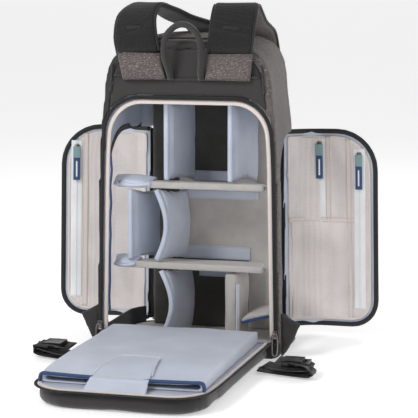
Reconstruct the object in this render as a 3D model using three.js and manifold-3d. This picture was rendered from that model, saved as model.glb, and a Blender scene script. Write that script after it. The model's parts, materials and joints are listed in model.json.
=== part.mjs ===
// Camera backpack, standing on its base with its back access panel and both side doors open.
// Frame: X to the viewer's right when facing the harness side, Y from the harness side to the
// front of the bag, Z up. The origin is the middle of the base, on the floor. Millimetres.
import * as THREE from "three";
import { LoftGeometry } from "three/addons/geometries/LoftGeometry.js";
import { mergeVertices } from "three/addons/utils/BufferGeometryUtils.js";
import Module from "manifold-3d";

const wasm = await Module();
wasm.setup();

// ---- Driving dimensions ----
const GAP = 0.3; // between pieces that are sewn or rest together
const BODY_WIDTH = 318; // across the back edge of the base
const BODY_DEPTH = 210; // back face to front face
const BODY_HEIGHT = 535; // crown of the top
const BACK_EDGE_DROP = 14; // the top falls this much from its crown to the back edge
const SIDE_TAPER = 8; // each side leans in by this much ...
const TAPER_HEIGHT = 390; // ... over this height
const LEAN = { from: 0.56 * BODY_HEIGHT, to: 0.935 * BODY_HEIGHT, by: 18 }; // and further above the doors
const FRONT_FLAT = 0.377 * BODY_WIDTH; // width of the flat middle of the front
const SHOULDER = 0.18 * BODY_HEIGHT; // height of the rounded shoulders below the top
const WALL = 7; // padded wall
const BASE_HEIGHT = 14; // height of the dark base tray
const TOP_SEAM = 0.8075 * BODY_HEIGHT; // height of the seam under the top panel
const YOKE = { low: 0.617 * BODY_HEIGHT, inset: 12 }; // the side and top fabric wraps this far round its edge

const OPENING_EDGE = 3; // body edge to the rear zip
const OPENING_TOP = 0.8075 * BODY_HEIGHT;
const HINGE_HEIGHT = 27; // fold line of the rear panel
const OPENING_CORNER = { across: 62, up: 66 };
const TAPE_WIDTH = 7; // one half of the rear zip
const TAPE_THICK = 3;
const BINDING_WIDTH = 9.5;

const PAD_THICK = 24.5; // back pads of the rear panel, outside its zip
const SLEEVE = { width: 0.79 * BODY_WIDTH, start: 14, mouth: 0.654 * BODY_HEIGHT, thick: 20, sheet: 3 };
const TAB = { root: OPENING_TOP - 53, rootWidth: 96, tipWidth: 64, reach: 104, thick: 2.5 };

const DOOR = {
  bottom: BASE_HEIGHT + 0.6,
  top: 0.68 * BODY_HEIGHT,
  back: -BODY_DEPTH / 2 + 27,
  hingeTurn: 50, // how far round the front corner its hinge sits, in degrees
  topRadius: 72,
  bottomRadius: 48,
};
const DOOR_OPEN = { left: 74, right: 86 }; // degrees that each side door is swung out
const POCKET_THICK = 3;

const INSIDE = { back: -BODY_DEPTH / 2 + 29, front: 0.2145 * BODY_DEPTH, halfFront: 0.33 * BODY_WIDTH, floor: 15.5 };
const DIVIDER = 9; // padded divider thickness
const SHELF = {
  thick: 12,
  drop: 14,
  upper: 0.535 * BODY_HEIGHT,
  lower: 0.279 * BODY_HEIGHT,
  halfBack: 0.415 * BODY_WIDTH,
  halfFront: 0.308 * BODY_WIDTH,
};

const STRAP = { width: 0.239 * BODY_WIDTH, thick: 12 };
const HANDLE_RADIUS = 5.5;
const BELT = { along: 92, inset: 12.5, width: 30, reach: 96, swing: { left: -0.25, right: 0.3 } };
const CHAIN = { width: 13, thick: 1.6 }; // pocket zips
const PULLER = { length: 58, width: 10, thick: 2.4 };

// ---- Colours ----
const finish = (color, roughness = 0.9, metalness = 0) =>
  new THREE.MeshStandardMaterial({ color, roughness, metalness });
const CHARCOAL = finish(0x3a3836, 0.75);
const HEATHER = finish(0x6b625f, 0.95);
const BLACK_WEB = finish(0x1c1b1b, 0.7);
const SPACER_MESH = finish(0x2b292b, 0.9);
const FELT = finish(0xb9bab4, 1);
const NYLON_BLUE = finish(0xbfc8d6, 0.5);
const NAVY = finish(0x2c4269, 0.6);
const BEIGE = finish(0xe3d5cf, 0.8);
const PINK_MESH = finish(0xcfc3c0, 0.9);
const WHITE_ZIP = finish(0xf1f2f4, 0.5);
const TEAL = finish(0x8fa9aa, 0.7);
const STEEL = finish(0xb9b6b0, 0.3, 0.9);
const BUCKLE = finish(0x222222, 0.4);

// ---- Solids ----
const radians = THREE.MathUtils.degToRad;
const v3 = (x, y, z) => new THREE.Vector3(x, y, z);

function solid(geometry) {
  const bare = geometry.index ? geometry.toNonIndexed() : geometry.clone();
  bare.deleteAttribute("normal");
  bare.deleteAttribute("uv");
  const merged = mergeVertices(bare, 1e-3);
  return new wasm.Manifold(
    new wasm.Mesh({
      numProp: 3,
      vertProperties: merged.attributes.position.array,
      triVerts: new Uint32Array(merged.index.array),
    }),
  );
}

function geometryOf(made) {
  const mesh = made.getMesh();
  const geometry = new THREE.BufferGeometry();
  const points = new Float32Array(mesh.numVert * 3);
  for (let i = 0; i < mesh.numVert; i++) {
    points.set(mesh.vertProperties.subarray(i * mesh.numProp, i * mesh.numProp + 3), i * 3);
  }
  geometry.setAttribute("position", new THREE.BufferAttribute(points, 3));
  geometry.setIndex(new THREE.BufferAttribute(new Uint32Array(mesh.triVerts), 1));
  return geometry;
}

const root = new THREE.Group();

// A named mesh from a solid or a geometry, in a group whose own place is already taken off.
function piece(name, shape, material, group = root) {
  const geometry = shape.isBufferGeometry ? shape : geometryOf(shape);
  const mesh = new THREE.Mesh(geometry, material);
  mesh.name = name;
  if (group.userData.home) mesh.position.copy(group.userData.home).negate();
  group.add(mesh);
  return mesh;
}

// A group that turns about a line through a point; its meshes are given where they lie before the turn.
function turned(point, axis, degrees) {
  const group = new THREE.Group();
  group.position.copy(point);
  group.quaternion.setFromAxisAngle(axis, radians(degrees));
  group.userData.home = point;
  root.add(group);
  return group;
}

const boxGeometry = (x, y, z) =>
  new THREE.BoxGeometry(x[1] - x[0], y[1] - y[0], z[1] - z[0]).translate(
    (x[0] + x[1]) / 2,
    (y[0] + y[1]) / 2,
    (z[0] + z[1]) / 2,
  );
const box = (x, y, z) => solid(boxGeometry(x, y, z));
const FAR = 900;

// A flat shape drawn in X and Z, given thickness along Y between two values.
function plateXZ(shape, y0, y1) {
  const geometry = new THREE.ExtrudeGeometry(shape, { depth: y1 - y0, bevelEnabled: false, curveSegments: 8 });
  return geometry.rotateX(Math.PI / 2).translate(0, y1, 0);
}

// A flat shape drawn in Y and Z, given thickness along X between two values.
function plateYZ(shape, x0, x1) {
  const geometry = new THREE.ExtrudeGeometry(shape, { depth: x1 - x0, bevelEnabled: false, curveSegments: 8 });
  const turn = new THREE.Matrix4().makeBasis(v3(0, 1, 0), v3(0, 0, 1), v3(1, 0, 0));
  return geometry.applyMatrix4(turn).translate(x0, 0, 0);
}

// A flat shape drawn in X and Y, given thickness along Z between two values.
function plateXY(shape, z0, z1) {
  return new THREE.ExtrudeGeometry(shape, { depth: z1 - z0, bevelEnabled: false, curveSegments: 8 }).translate(0, 0, z0);
}

const polygon = (points) => new THREE.Shape(points.map(([a, b]) => new THREE.Vector2(a, b)));

// A flat band swept along points: at each, its width direction is across and its thickness is square to both.
function band(points, across, width, thick) {
  const curve = new THREE.CatmullRomCurve3(points);
  const steps = (points.length - 1) * 3;
  const acrossCurve = new THREE.CatmullRomCurve3(across);
  const sections = [];
  for (let i = 0; i <= steps; i++) {
    const along = curve.getTangent(i / steps);
    const side = acrossCurve.getPoint(i / steps);
    side.addScaledVector(along, -side.dot(along)).normalize();
    const out = new THREE.Vector3().crossVectors(along, side);
    const centre = curve.getPoint(i / steps);
    const corner = (a, b) =>
      centre.clone().addScaledVector(side, (a * width) / 2).addScaledVector(out, (b * thick) / 2);
    sections.push([corner(-1, -1), corner(1, -1), corner(1, 1), corner(-1, 1)]);
  }
  return new LoftGeometry(sections, { capStart: true, capEnd: true });
}

const mirrorX = (points) => points.map((p) => v3(-p.x, p.y, p.z));

// ---- Body shell ----
// Half the body's width across its sides at one height.
function halfWidth(z) {
  const above = Math.max(0, z - LEAN.from) / (LEAN.to - LEAN.from);
  return BODY_WIDTH / 2 - (SIDE_TAPER * z) / TAPER_HEIGHT - LEAN.by * above * above;
}
const BACK = -BODY_DEPTH / 2;
const FRONT = BODY_DEPTH / 2;
const CORNER_START = 0.095 * BODY_DEPTH; // the sides run straight from the back to here, then round to the front
const CORNER_ACROSS = (BODY_WIDTH - FRONT_FLAT) / 2;

// The body's outline in X and Z at one depth, moved inwards by offset.
function bodySection(y, offset) {
  const across = CORNER_ACROSS - offset;
  const deep = FRONT - CORNER_START - offset;
  const t = Math.min(1, Math.max(0, (y - CORNER_START) / deep));
  const inset = offset + across * (1 - Math.sqrt(1 - t * t));
  const crownAt = 10;
  const ahead = Math.min(1, Math.max(0, (y - crownAt) / (FRONT - crownAt - offset)));
  const behind = Math.min(1, Math.max(0, (crownAt - y) / (crownAt - BACK)));
  const top = BODY_HEIGHT - offset - 100 * (1 - Math.sqrt(1 - ahead * ahead)) - BACK_EDGE_DROP * behind * behind;
  const lift = Math.min(1, Math.max(0, (y - 60) / (FRONT - 60 - offset)));
  const bottom = offset + 30 * (1 - Math.sqrt(1 - lift * lift));
  const halfAt = (z) => halfWidth(z) - inset;
  const radius = 12;
  const half = [v3(0, y, bottom)];
  for (let i = 0; i <= 3; i++) {
    const turn = (i / 3) * (Math.PI / 2);
    const reach = halfAt(bottom + radius) - radius * (1 - Math.sin(turn));
    half.push(v3(reach, y, bottom + radius * (1 - Math.cos(turn))));
  }
  const shoulder = top - SHOULDER;
  for (const t of [0.35, 0.68, 0.85]) {
    const z = bottom + (shoulder - bottom) * t;
    half.push(v3(halfAt(z), y, z));
  }
  const wide = halfAt(shoulder);
  const arch = new THREE.CubicBezierCurve(
    new THREE.Vector2(wide, shoulder),
    new THREE.Vector2(wide * 0.975, top - 16),
    new THREE.Vector2(wide * 0.86, top),
    new THREE.Vector2(0, top),
  );
  arch.getPoints(8).forEach((p) => half.push(v3(p.x, y, p.y)));
  const mirrored = half.slice(1, -1).reverse();
  return [...half, ...mirrorX(mirrored)].reverse();
}

// The body's closed outer form, moved inwards by offset, from one depth to its own front.
function bodyForm(offset, from = BACK) {
  const end = FRONT - offset;
  const round = [0.5, 0.75, 0.9, 0.98, 1].map((t) => CORNER_START + (end - CORNER_START) * t);
  const depths = [...(from < BACK ? [from, BACK] : [from]), -50, CORNER_START, ...round];
  return solid(new LoftGeometry(depths.map((y) => bodySection(y, offset)), { capStart: true, capEnd: true }));
}

const outer = bodyForm(0);
const inner = bodyForm(WALL, BACK - 10);
const lining = bodyForm(WALL + GAP, BACK + WALL + 1);
const shell = outer.subtract(inner);

// The rear opening's outline, moved inwards by inset; it is open across the hinge at its foot.
function openingShape(inset, foot = HINGE_HEIGHT + 3) {
  const halfAt = (z) => halfWidth(z) - OPENING_EDGE - inset;
  const top = OPENING_TOP - inset;
  const across = OPENING_CORNER.across - inset / 2;
  const up = OPENING_CORNER.up - inset / 2;
  const wide = halfAt(top - up);
  const shape = new THREE.Shape();
  shape.moveTo(-halfAt(foot), foot);
  shape.lineTo(halfAt(foot), foot);
  shape.lineTo(halfAt(LEAN.from), LEAN.from);
  shape.lineTo(wide, top - up);
  shape.absellipse(wide - across, top - up, across, up, 0, Math.PI / 2, false, 0);
  shape.lineTo(-(wide - across), top);
  shape.absellipse(-(wide - across), top - up, across, up, Math.PI / 2, Math.PI, false, 0);
  shape.lineTo(-halfAt(LEAN.from), LEAN.from);
  return shape;
}
const opening = (inset, y0, y1, foot) => solid(plateXZ(openingShape(inset, foot), y0, y1));

// The side door's outline in Y and Z, moved inwards by inset, long enough to pass its hinge line.
const HINGE_Y = CORNER_START + (FRONT - CORNER_START) * Math.sin(radians(DOOR.hingeTurn));
function doorShape(inset, hingeInset = inset) {
  const back = DOOR.back + inset;
  const front = HINGE_Y - hingeInset;
  const [low, high] = [DOOR.bottom + inset, DOOR.top - inset];
  const [small, large] = [DOOR.bottomRadius - inset, DOOR.topRadius - inset];
  const shape = new THREE.Shape();
  shape.moveTo(front, low);
  shape.lineTo(front, high);
  shape.lineTo(back + large, high);
  shape.absarc(back + large, high - large, large, Math.PI / 2, Math.PI, false);
  shape.lineTo(back, low + small);
  shape.absarc(back + small, low + small, small, Math.PI, 1.5 * Math.PI, false);
  return shape;
}

const sidePrism = (side, inset, hingeInset) => {
  const range = side > 0 ? [60, FAR] : [-FAR, -60];
  return solid(plateYZ(doorShape(inset, hingeInset), ...range));
};

const SIDE_FRONT = HINGE_Y + 4;
const backSlab = outer.intersect(box([-FAR, FAR], [BACK - 1, BACK + WALL], [-1, FAR])).subtract(opening(0, BACK - 2, BACK + WALL + 2, -5));
const ring = shell.intersect(box([-FAR, FAR], [BACK + WALL + GAP, FAR], [-1, FAR]));

const yoke = backSlab.intersect(box([-FAR, FAR], [-FAR, FAR], [YOKE.low, FAR]));
piece("back_yoke", yoke.intersect(bodyForm(YOKE.inset, BACK - 10)), CHARCOAL);
// The back edge that carries on round from the sides and the top, joined to them behind the slab.
const wrap = backSlab
  .subtract(box([-FAR, FAR], [-FAR, FAR], [YOKE.low, FAR]).intersect(bodyForm(YOKE.inset - GAP, BACK - 10)))
  .add(
    shell
      .intersect(box([-FAR, FAR], [BACK + 1, BACK + WALL + GAP + 1], [-1, FAR]))
      .subtract(opening(0, BACK - 2, BACK + WALL + 2, -5))
      .subtract(bodyForm(YOKE.inset - GAP, BACK - 10)),
  );
const lip = outer
  .intersect(box([-FAR, FAR], [BACK - 1, BACK + WALL + GAP], [-1, HINGE_HEIGHT]))
  .add(backSlab.intersect(box([-FAR, FAR], [-FAR, FAR], [-1, HINGE_HEIGHT + 0.1])));
const tray = ring.intersect(box([-FAR, FAR], [-FAR, FAR], [-1, BASE_HEIGHT]));
piece("base_panel", tray.add(lip.intersect(box([-FAR, FAR], [-FAR, FAR], [-1, HINGE_HEIGHT]))), BLACK_WEB);
piece("top_panel", ring.add(wrap).intersect(box([-FAR, FAR], [-FAR, FAR], [TOP_SEAM + GAP, FAR])), HEATHER);
const middle = ring.intersect(box([-FAR, FAR], [-FAR, FAR], [BASE_HEIGHT + GAP, TOP_SEAM]));
piece("front_panel", middle.intersect(box([-FAR, FAR], [SIDE_FRONT + GAP, FAR], [-1, FAR])), HEATHER);
for (const [name, side] of [["left", -1], ["right", 1]]) {
  const half = side > 0 ? [1, FAR] : [-FAR, -1];
  const wall = middle.intersect(box(half, [-FAR, SIDE_FRONT], [-1, FAR]));
  const edge = wrap.intersect(box(half, [-FAR, FAR], [HINGE_HEIGHT + GAP, TOP_SEAM]));
  piece(name + "_side_panel", wall.add(edge).subtract(sidePrism(side, 0, -0.5)), HEATHER);
}

// ---- Rear opening: one half of its zip, and the bound edge behind it ----
const TAPE_Y = [BACK - 2.8, BACK - 2.8 + TAPE_THICK];
const aboveHinge = box([-FAR, FAR], [-FAR, FAR], [HINGE_HEIGHT + 8, FAR]);
piece(
  "rear_zip_body_half",
  opening(GAP, ...TAPE_Y, -5).subtract(opening(TAPE_WIDTH, BACK - 9, BACK + 9, -9)).intersect(aboveHinge),
  BLACK_WEB,
);
const BINDING_Y = [BACK + 2, BACK + 6];
piece(
  "rear_opening_binding",
  opening(GAP, ...BINDING_Y, -5)
    .subtract(opening(TAPE_WIDTH + BINDING_WIDTH, BACK - 9, BACK + 19, -9))
    .intersect(aboveHinge),
  BEIGE,
);

// ---- Inside: padded liner, shelves and dividers ----
const insideAt = (z0, z1) => lining.intersect(box([-FAR, FAR], [BACK + WALL + 1.5, FAR], [z0, z1]));
piece("floor_pad", insideAt(0, INSIDE.floor - GAP).intersect(box([-FAR, FAR], [-FAR, 80], [-1, FAR])), FELT);
const CHEEK_Y = HINGE_Y - 11.5;
const cheek = halfWidth(DOOR.top) - CORNER_ACROSS * (1 - Math.cos(radians(DOOR.hingeTurn))) - 6;
const wallPad = 6;
const linerPlan = polygon([
  [-cheek, CHEEK_Y],
  [-INSIDE.halfFront, INSIDE.front],
  [INSIDE.halfFront, INSIDE.front],
  [cheek, CHEEK_Y],
  [cheek - wallPad, CHEEK_Y],
  [INSIDE.halfFront - wallPad / 2, INSIDE.front + wallPad],
  [-INSIDE.halfFront + wallPad / 2, INSIDE.front + wallPad],
  [-cheek + wallPad, CHEEK_Y],
]);
piece("front_liner", solid(plateXY(linerPlan, INSIDE.floor, TOP_SEAM - 8)).intersect(lining), FELT);

// A padded shelf: wider at the back, its front end a little lower.
function shelf(name, top) {
  const plan = polygon([
    [-SHELF.halfBack, INSIDE.back],
    [SHELF.halfBack, INSIDE.back],
    [SHELF.halfFront, INSIDE.front - 1],
    [-SHELF.halfFront, INSIDE.front - 1],
  ]);
  const fall = SHELF.drop / (INSIDE.front - INSIDE.back);
  const lean = new THREE.Matrix4().set(1, 0, 0, 0, 0, 1, 0, 0, 0, -fall, 1, fall * INSIDE.back, 0, 0, 0, 1);
  piece(name, plateXY(plan, top - SHELF.thick, top).applyMatrix4(lean), FELT);
}
shelf("upper_shelf", SHELF.upper);
shelf("lower_shelf", SHELF.lower);
const shelfTopAt = (top, y) => top - (SHELF.drop * (y - INSIDE.back)) / (INSIDE.front - INSIDE.back);

// An upright divider from the back to the front liner, cut to the shelves above and below it.
// back and front place its two ends across the bag, as shares of the body's width, and bow pushes the
// middle of its height to one side.
function divider(name, { back, front, below, above, bow = 0, thick = DIVIDER, depth = 1, material = NYLON_BLUE }) {
  const rows = bow ? 8 : 1;
  const endY = INSIDE.back + (INSIDE.front - 2 - INSIDE.back) * depth;
  const sections = [];
  for (let i = 0; i <= rows; i++) {
    const t = i / rows;
    const sway = bow * Math.sin(Math.PI * t);
    const corner = (x, y, sideways) => {
      const low = below ? shelfTopAt(below, y) + 1 : INSIDE.floor + 1;
      const high = above ? shelfTopAt(above, y) - SHELF.thick - 1 : TOP_SEAM - 12;
      const push = sway * (1 - (0.6 * (y - INSIDE.back)) / (INSIDE.front - INSIDE.back));
      return v3(x + push + sideways, y, low + (high - low) * t);
    };
    const near = back * BODY_WIDTH;
    const far = (back + (front - back) * depth) * BODY_WIDTH;
    sections.push([
      corner(near, INSIDE.back + 2, -thick / 2),
      corner(near, INSIDE.back + 2, thick / 2),
      corner(far, endY, thick / 2),
      corner(far, endY, -thick / 2),
    ]);
  }
  piece(name, new LoftGeometry(sections, { capStart: true, capEnd: true }), material);
}
divider("divider_top_left", { back: -0.1384, front: -0.0943, below: SHELF.upper });
divider("divider_top_right", { back: 0.2075, front: 0.2579, below: SHELF.upper });
divider("divider_middle_left", { back: -0.3396, front: -0.2642, below: SHELF.lower, above: SHELF.upper, depth: 0.85 });
divider("divider_middle_centre", { back: -0.195, front: -0.1447, below: SHELF.lower, above: SHELF.upper, bow: 17 });
divider("divider_low_centre", { back: -0.1698, front: -0.1195, above: SHELF.lower, bow: 18 });
divider("divider_low_right", {
  back: 0.2075, front: 0.2075, above: SHELF.lower, thick: 22, depth: 0.8, material: FELT,
});
const slant = solid(boxGeometry([0, 0.17 * BODY_WIDTH], [INSIDE.back + 4, INSIDE.front - 22], [0, 8]).rotateY(radians(-16)));
piece("divider_low_slant", slant.translate([0.258 * BODY_WIDTH, 0, 50]), FELT);

// ---- Outside of the front: stash pocket and the two outer zips ----
const POCKET = { half: 0.277 * BODY_WIDTH, low: 60, high: 0.617 * BODY_HEIGHT, proud: 9 };
const pocketForm = bodyForm(-POCKET.proud).subtract(bodyForm(-GAP));
piece(
  "front_pocket",
  pocketForm.intersect(box([-POCKET.half, POCKET.half], [70, FAR], [POCKET.low, POCKET.high])),
  HEATHER,
);
const zipForm = bodyForm(-POCKET.proud - 2).subtract(bodyForm(-POCKET.proud - GAP));
const FRONT_ZIP = { half: 0.239 * BODY_WIDTH, z: 0.561 * BODY_HEIGHT };
piece(
  "front_pocket_zip",
  zipForm.intersect(box([-FRONT_ZIP.half, FRONT_ZIP.half], [70, FAR], [FRONT_ZIP.z - 5, FRONT_ZIP.z + 5])),
  BLACK_WEB,
);
const TOP_ZIP = { half: 0.207 * BODY_WIDTH, y: BACK + 19 };
const topForm = bodyForm(-2).subtract(bodyForm(-GAP));
piece(
  "top_pocket_zip",
  topForm.intersect(box([-TOP_ZIP.half, TOP_ZIP.half], [TOP_ZIP.y - 4.5, TOP_ZIP.y + 4.5], [TOP_SEAM, FAR])),
  BLACK_WEB,
);
piece(
  "front_zip_slider",
  boxGeometry([-58, -46], [FRONT + POCKET.proud + 2.6, FRONT + POCKET.proud + 7], [FRONT_ZIP.z - 24, FRONT_ZIP.z + 5]),
  STEEL,
);

// ---- Rear zip sliders, parked at the foot of the body half ----
for (const [name, side] of [["left", -1], ["right", 1]]) {
  const x = side * (BODY_WIDTH / 2 - OPENING_EDGE - 4);
  const z = HINGE_HEIGHT + 16;
  const y = TAPE_Y[0] - GAP;
  piece(name + "_rear_slider", boxGeometry([x - 3.5, x + 3.5], [y - 5, y], [z - 7, z + 7]), STEEL);
  piece(name + "_rear_pull", boxGeometry([x - 4, x + 4], [y - 9, y - 5.6], [z - 36, z + 4]), STEEL);
}

// ---- Rear panel: drawn closed and upright, then folded down to the floor ----
const HINGE_Y_REAR = BACK - 1.2;
const rear = turned(v3(0, HINGE_Y_REAR, HINGE_HEIGHT), v3(1, 0, 0), 90);
const foot = HINGE_HEIGHT + 2;
piece(
  "rear_zip_panel_half",
  opening(TAPE_WIDTH + 0.8, ...TAPE_Y, foot).subtract(opening(TAPE_WIDTH * 2, BACK - 9, BACK + 9, foot + 6)),
  BLACK_WEB,
  rear,
);
piece("rear_panel_board", opening(TAPE_WIDTH * 2 + GAP, ...TAPE_Y, foot + 6 + GAP), NYLON_BLUE, rear);
const padBack = TAPE_Y[0] - GAP;
const padForm = new THREE.ExtrudeGeometry(openingShape(TAPE_WIDTH + 9, foot + 8), {
  depth: PAD_THICK - 8,
  bevelEnabled: true,
  bevelThickness: 4,
  bevelSize: 5,
  bevelSegments: 2,
  curveSegments: 6,
});
piece("back_pad", padForm.rotateX(Math.PI / 2).translate(0, padBack - 4, 0), CHARCOAL, rear);
const board = TAPE_Y[1] + GAP;
const sleeveLow = HINGE_HEIGHT + SLEEVE.start;
const sleeveHigh = HINGE_HEIGHT + SLEEVE.mouth;
const sleeveHalf = SLEEVE.width / 2;
const sleeveOuter = box([-sleeveHalf, sleeveHalf], [board, board + SLEEVE.thick], [sleeveLow, sleeveHigh]);
const sleeveHollow = box(
  [-sleeveHalf + 6, sleeveHalf - 6],
  [board + SLEEVE.sheet, board + SLEEVE.thick - SLEEVE.sheet],
  [sleeveLow + 6, sleeveHigh + 9],
);
piece("laptop_sleeve", sleeveOuter.subtract(sleeveHollow), NYLON_BLUE, rear);

const tabRoot = v3(0, board + 2, HINGE_HEIGHT + TAB.root);
const tabFace = board + SLEEVE.thick + 0.8;
const tabSide = polygon([
  [board + 1, tabRoot.z],
  [board + 1, tabRoot.z + 6],
  [board + 1 + TAB.thick, tabRoot.z + 6],
  [tabFace + TAB.thick, sleeveHigh + 12],
  [tabFace + TAB.thick, sleeveHigh + 12 - TAB.reach],
  [tabFace, sleeveHigh + 12 - TAB.reach],
  [tabFace, sleeveHigh + 10],
]);
const tabPlan = polygon([
  [-TAB.rootWidth / 2, tabRoot.z + 6],
  [TAB.rootWidth / 2, tabRoot.z + 6],
  [TAB.tipWidth / 2, sleeveHigh + 12 - TAB.reach],
  [-TAB.tipWidth / 2, sleeveHigh + 12 - TAB.reach],
].reverse());
piece(
  "sleeve_tab",
  solid(plateYZ(tabSide, -90, 90)).intersect(solid(plateXZ(tabPlan, BACK - 40, BACK + 60))),
  NYLON_BLUE,
  rear,
);

// ---- Hip belt webbing from under the rear panel, folded back through its buckle ----
const outY = padBack - PAD_THICK;
for (const [name, side] of [["left", -1], ["right", 1]]) {
  const z = HINGE_HEIGHT + BELT.along;
  const rootX = halfWidth(z) - BELT.inset;
  const web = [
    [0, 5], [24, 3], [BELT.reach - 12, 4], [BELT.reach, 10], [BELT.reach - 12, 16], [BELT.reach - 50, 17],
  ].map(([x, y]) => v3(side * (rootX + x), outY + y, z + BELT.swing[name] * Math.max(0, x - 20)));
  piece(name + "_belt_webbing", band(web, web.map(() => v3(0, 0, 1)), BELT.width, 2), BLACK_WEB, rear);
  const buckleX = [rootX + BELT.reach - 62, rootX + BELT.reach - 10].map((x) => side * x).sort((a, b) => a - b);
  const buckleZ = z + BELT.swing[name] * (BELT.reach - 56);
  const buckle = boxGeometry(buckleX, [outY + 19, outY + 29], [buckleZ - 19, buckleZ + 19]);
  piece(name + "_belt_buckle", buckle, BUCKLE, rear);
}

// ---- Folded fabric wedges at the foot of each side, between the back edge and the door ----
const wedgeHigh = 76;
for (const [name, side] of [["left", -1], ["right", 1]]) {
  const at = (z, out) => [side * (halfWidth(z) + GAP + out), z];
  const outline = polygon([at(GAP + 2, 0), at(wedgeHigh, 0), at(58, 32), at(32, 20), at(12, 9)]);
  piece(name + "_side_gusset", plateXZ(outline, BACK + 8, BACK + 14), CHARCOAL);
}

// ---- Side doors: drawn closed in the side wall, then swung out on their front edge ----
function sideDoor(name, side, zips) {
  const hingeAt = (z) => {
    return v3(side * (halfWidth(z) - CORNER_ACROSS * (1 - Math.cos(radians(DOOR.hingeTurn)))), HINGE_Y, z);
  };
  const foot = hingeAt(DOOR.bottom);
  const axis = hingeAt(LEAN.from).sub(foot).normalize();
  foot.x += side * 1.2;
  const door = turned(foot, axis, side * DOOR_OPEN[name]);
  const skin = (out, thick) => bodyForm(out, BACK).subtract(bodyForm(out + thick, BACK - 5));
  const cut = (form, inset, hingeInset) => form.intersect(sidePrism(side, inset, hingeInset));
  const padded = cut(skin(0, WALL - 2), 2.5, 2.5);
  piece(name + "_door_shell", padded, HEATHER, door);
  const edge = cut(skin(0.4, WALL - 1), 0.8, 1.6).subtract(sidePrism(side, 2.2, 2.2));
  piece(name + "_door_zip", edge, BLACK_WEB, door);
  const pocket = cut(skin(WALL - 2 + GAP, POCKET_THICK), 14, 9);
  piece(name + "_door_pocket", pocket, PINK_MESH, door);
  let depth = WALL - 2 + GAP + POCKET_THICK + GAP;
  const layer = (thick, y, z) => {
    const made = skin(depth, thick).intersect(box(side > 0 ? [60, FAR] : [-FAR, -60], y, z));
    return [made, depth + thick];
  };
  const inside = depth;
  for (const { label, y, low, high } of zips) {
    const top = high - 6;
    const across = (width) => [y - width / 2, y + width / 2];
    depth = inside;
    const [chain, chainDepth] = layer(CHAIN.thick, across(CHAIN.width), [low, high]);
    piece(`${name}_pocket_zip${label}`, chain, WHITE_ZIP, door);
    depth = chainDepth + GAP * 3;
    const [slider, sliderDepth] = layer(2.6, across(8), [top - 14, top]);
    piece(`${name}_pocket_slider${label}`, slider, STEEL, door);
    depth = sliderDepth + GAP;
    const [grip] = layer(PULLER.thick, across(PULLER.width), [top - 10 - PULLER.length, top - 4]);
    piece(`${name}_pocket_puller${label}`, grip, NAVY, door);
  }
}
sideDoor("left", -1, [{ label: "", y: DOOR.back + 28, low: 50, high: DOOR.top - 30 }]);
sideDoor("right", 1, [
  { label: "_inner", y: CORNER_START + 4, low: DOOR.top - 178, high: DOOR.top - 16 },
  { label: "_outer", y: DOOR.back + 32, low: 48, high: DOOR.top - 34 },
]);

// ---- Shoulder straps, thrown over the top, and the grab handle ----
// A point given in strap widths across, in shares of the body's depth and height, and how many mm it
// stands past the back or front face.
const onStrap = ([x, y, z, past = 0]) =>
  v3(x * STRAP.width, y * BODY_DEPTH + Math.sign(y) * past, z * BODY_HEIGHT);
const strapAcross = (turns) => turns.map((degrees) => v3(Math.cos(radians(degrees)), Math.sin(radians(degrees)), 0));

// One strap along a path of points; turns gives how far its width is turned from X at each of them.
// The sewn anchor takes the first three points, the webbing the last two, and the pad the rest.
function strap(name, points, turns) {
  const across = strapAcross(turns);
  piece(name + "_strap_anchor", band(points.slice(0, 3), across.slice(0, 3), STRAP.width, STRAP.thick - 3), HEATHER);
  piece(name + "_strap_pad", band(points.slice(3, -2), across.slice(3, -2), STRAP.width, STRAP.thick), SPACER_MESH);
  piece(name + "_strap_webbing", band(points.slice(-2), across.slice(-2), 25, 2.5), BLACK_WEB);
}
strap(
  "left",
  [
    [-0.934, -0.5, 0.8579, 6], [-0.987, -0.5, 0.8935, 8], [-1.039, -0.5, 0.9364, 11],
    [-1.053, -0.5, 0.9495, 12], [-1.105, -0.5, 0.9907, 12], [-1.11, -0.5, 1.048, 2],
    [-0.96, -0.4, 1.083], [-0.69, -0.3, 1.07], [-0.43, -0.19, 1.045],
    [-0.24, -0.02, 1.028], [-0.145, 0.22, 1.012], [-0.118, 0.42, 0.965],
    [-0.105, 0.5, 0.8411, 16], [-0.105, 0.5, 0.7477, 23], [-0.105, 0.5, 0.6617, 25],
    [-0.105, 0.5, 0.6542, 25], [-0.105, 0.5, 0.4486, 25],
  ].map(onStrap),
  [0, 0, 0, 0, -2, -14, -32, -36, -26, -14, -6, -2, 0, 0, 0, 0, 0],
);
strap(
  "right",
  [
    [0.921, -0.5, 0.8579, 6], [0.961, -0.5, 0.8935, 8], [1, -0.5, 0.9364, 11],
    [1, -0.5, 0.9495, 12], [1.026, -0.5, 0.9907, 12], [1.05, -0.5, 1.052, 1],
    [1.04, -0.4, 1.083], [1.03, -0.27, 1.062], [1.01, -0.1, 1.032],
    [0.995, 0.1, 1.014], [0.987, 0.28, 0.992], [0.98, 0.4381, 0.9308],
    [0.974, 0.5, 0.8449, 10], [0.974, 0.5, 0.7738, 17], [0.974, 0.5, 0.7252, 20],
    [0.974, 0.5, 0.7178, 20], [0.974, 0.5, 0.5121, 20],
  ].map(onStrap),
  [0, 0, 0, 0, 2, 5, 8, 9, 10, 6, 2, -6, -14, -16, -16, -16, -16],
);
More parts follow.
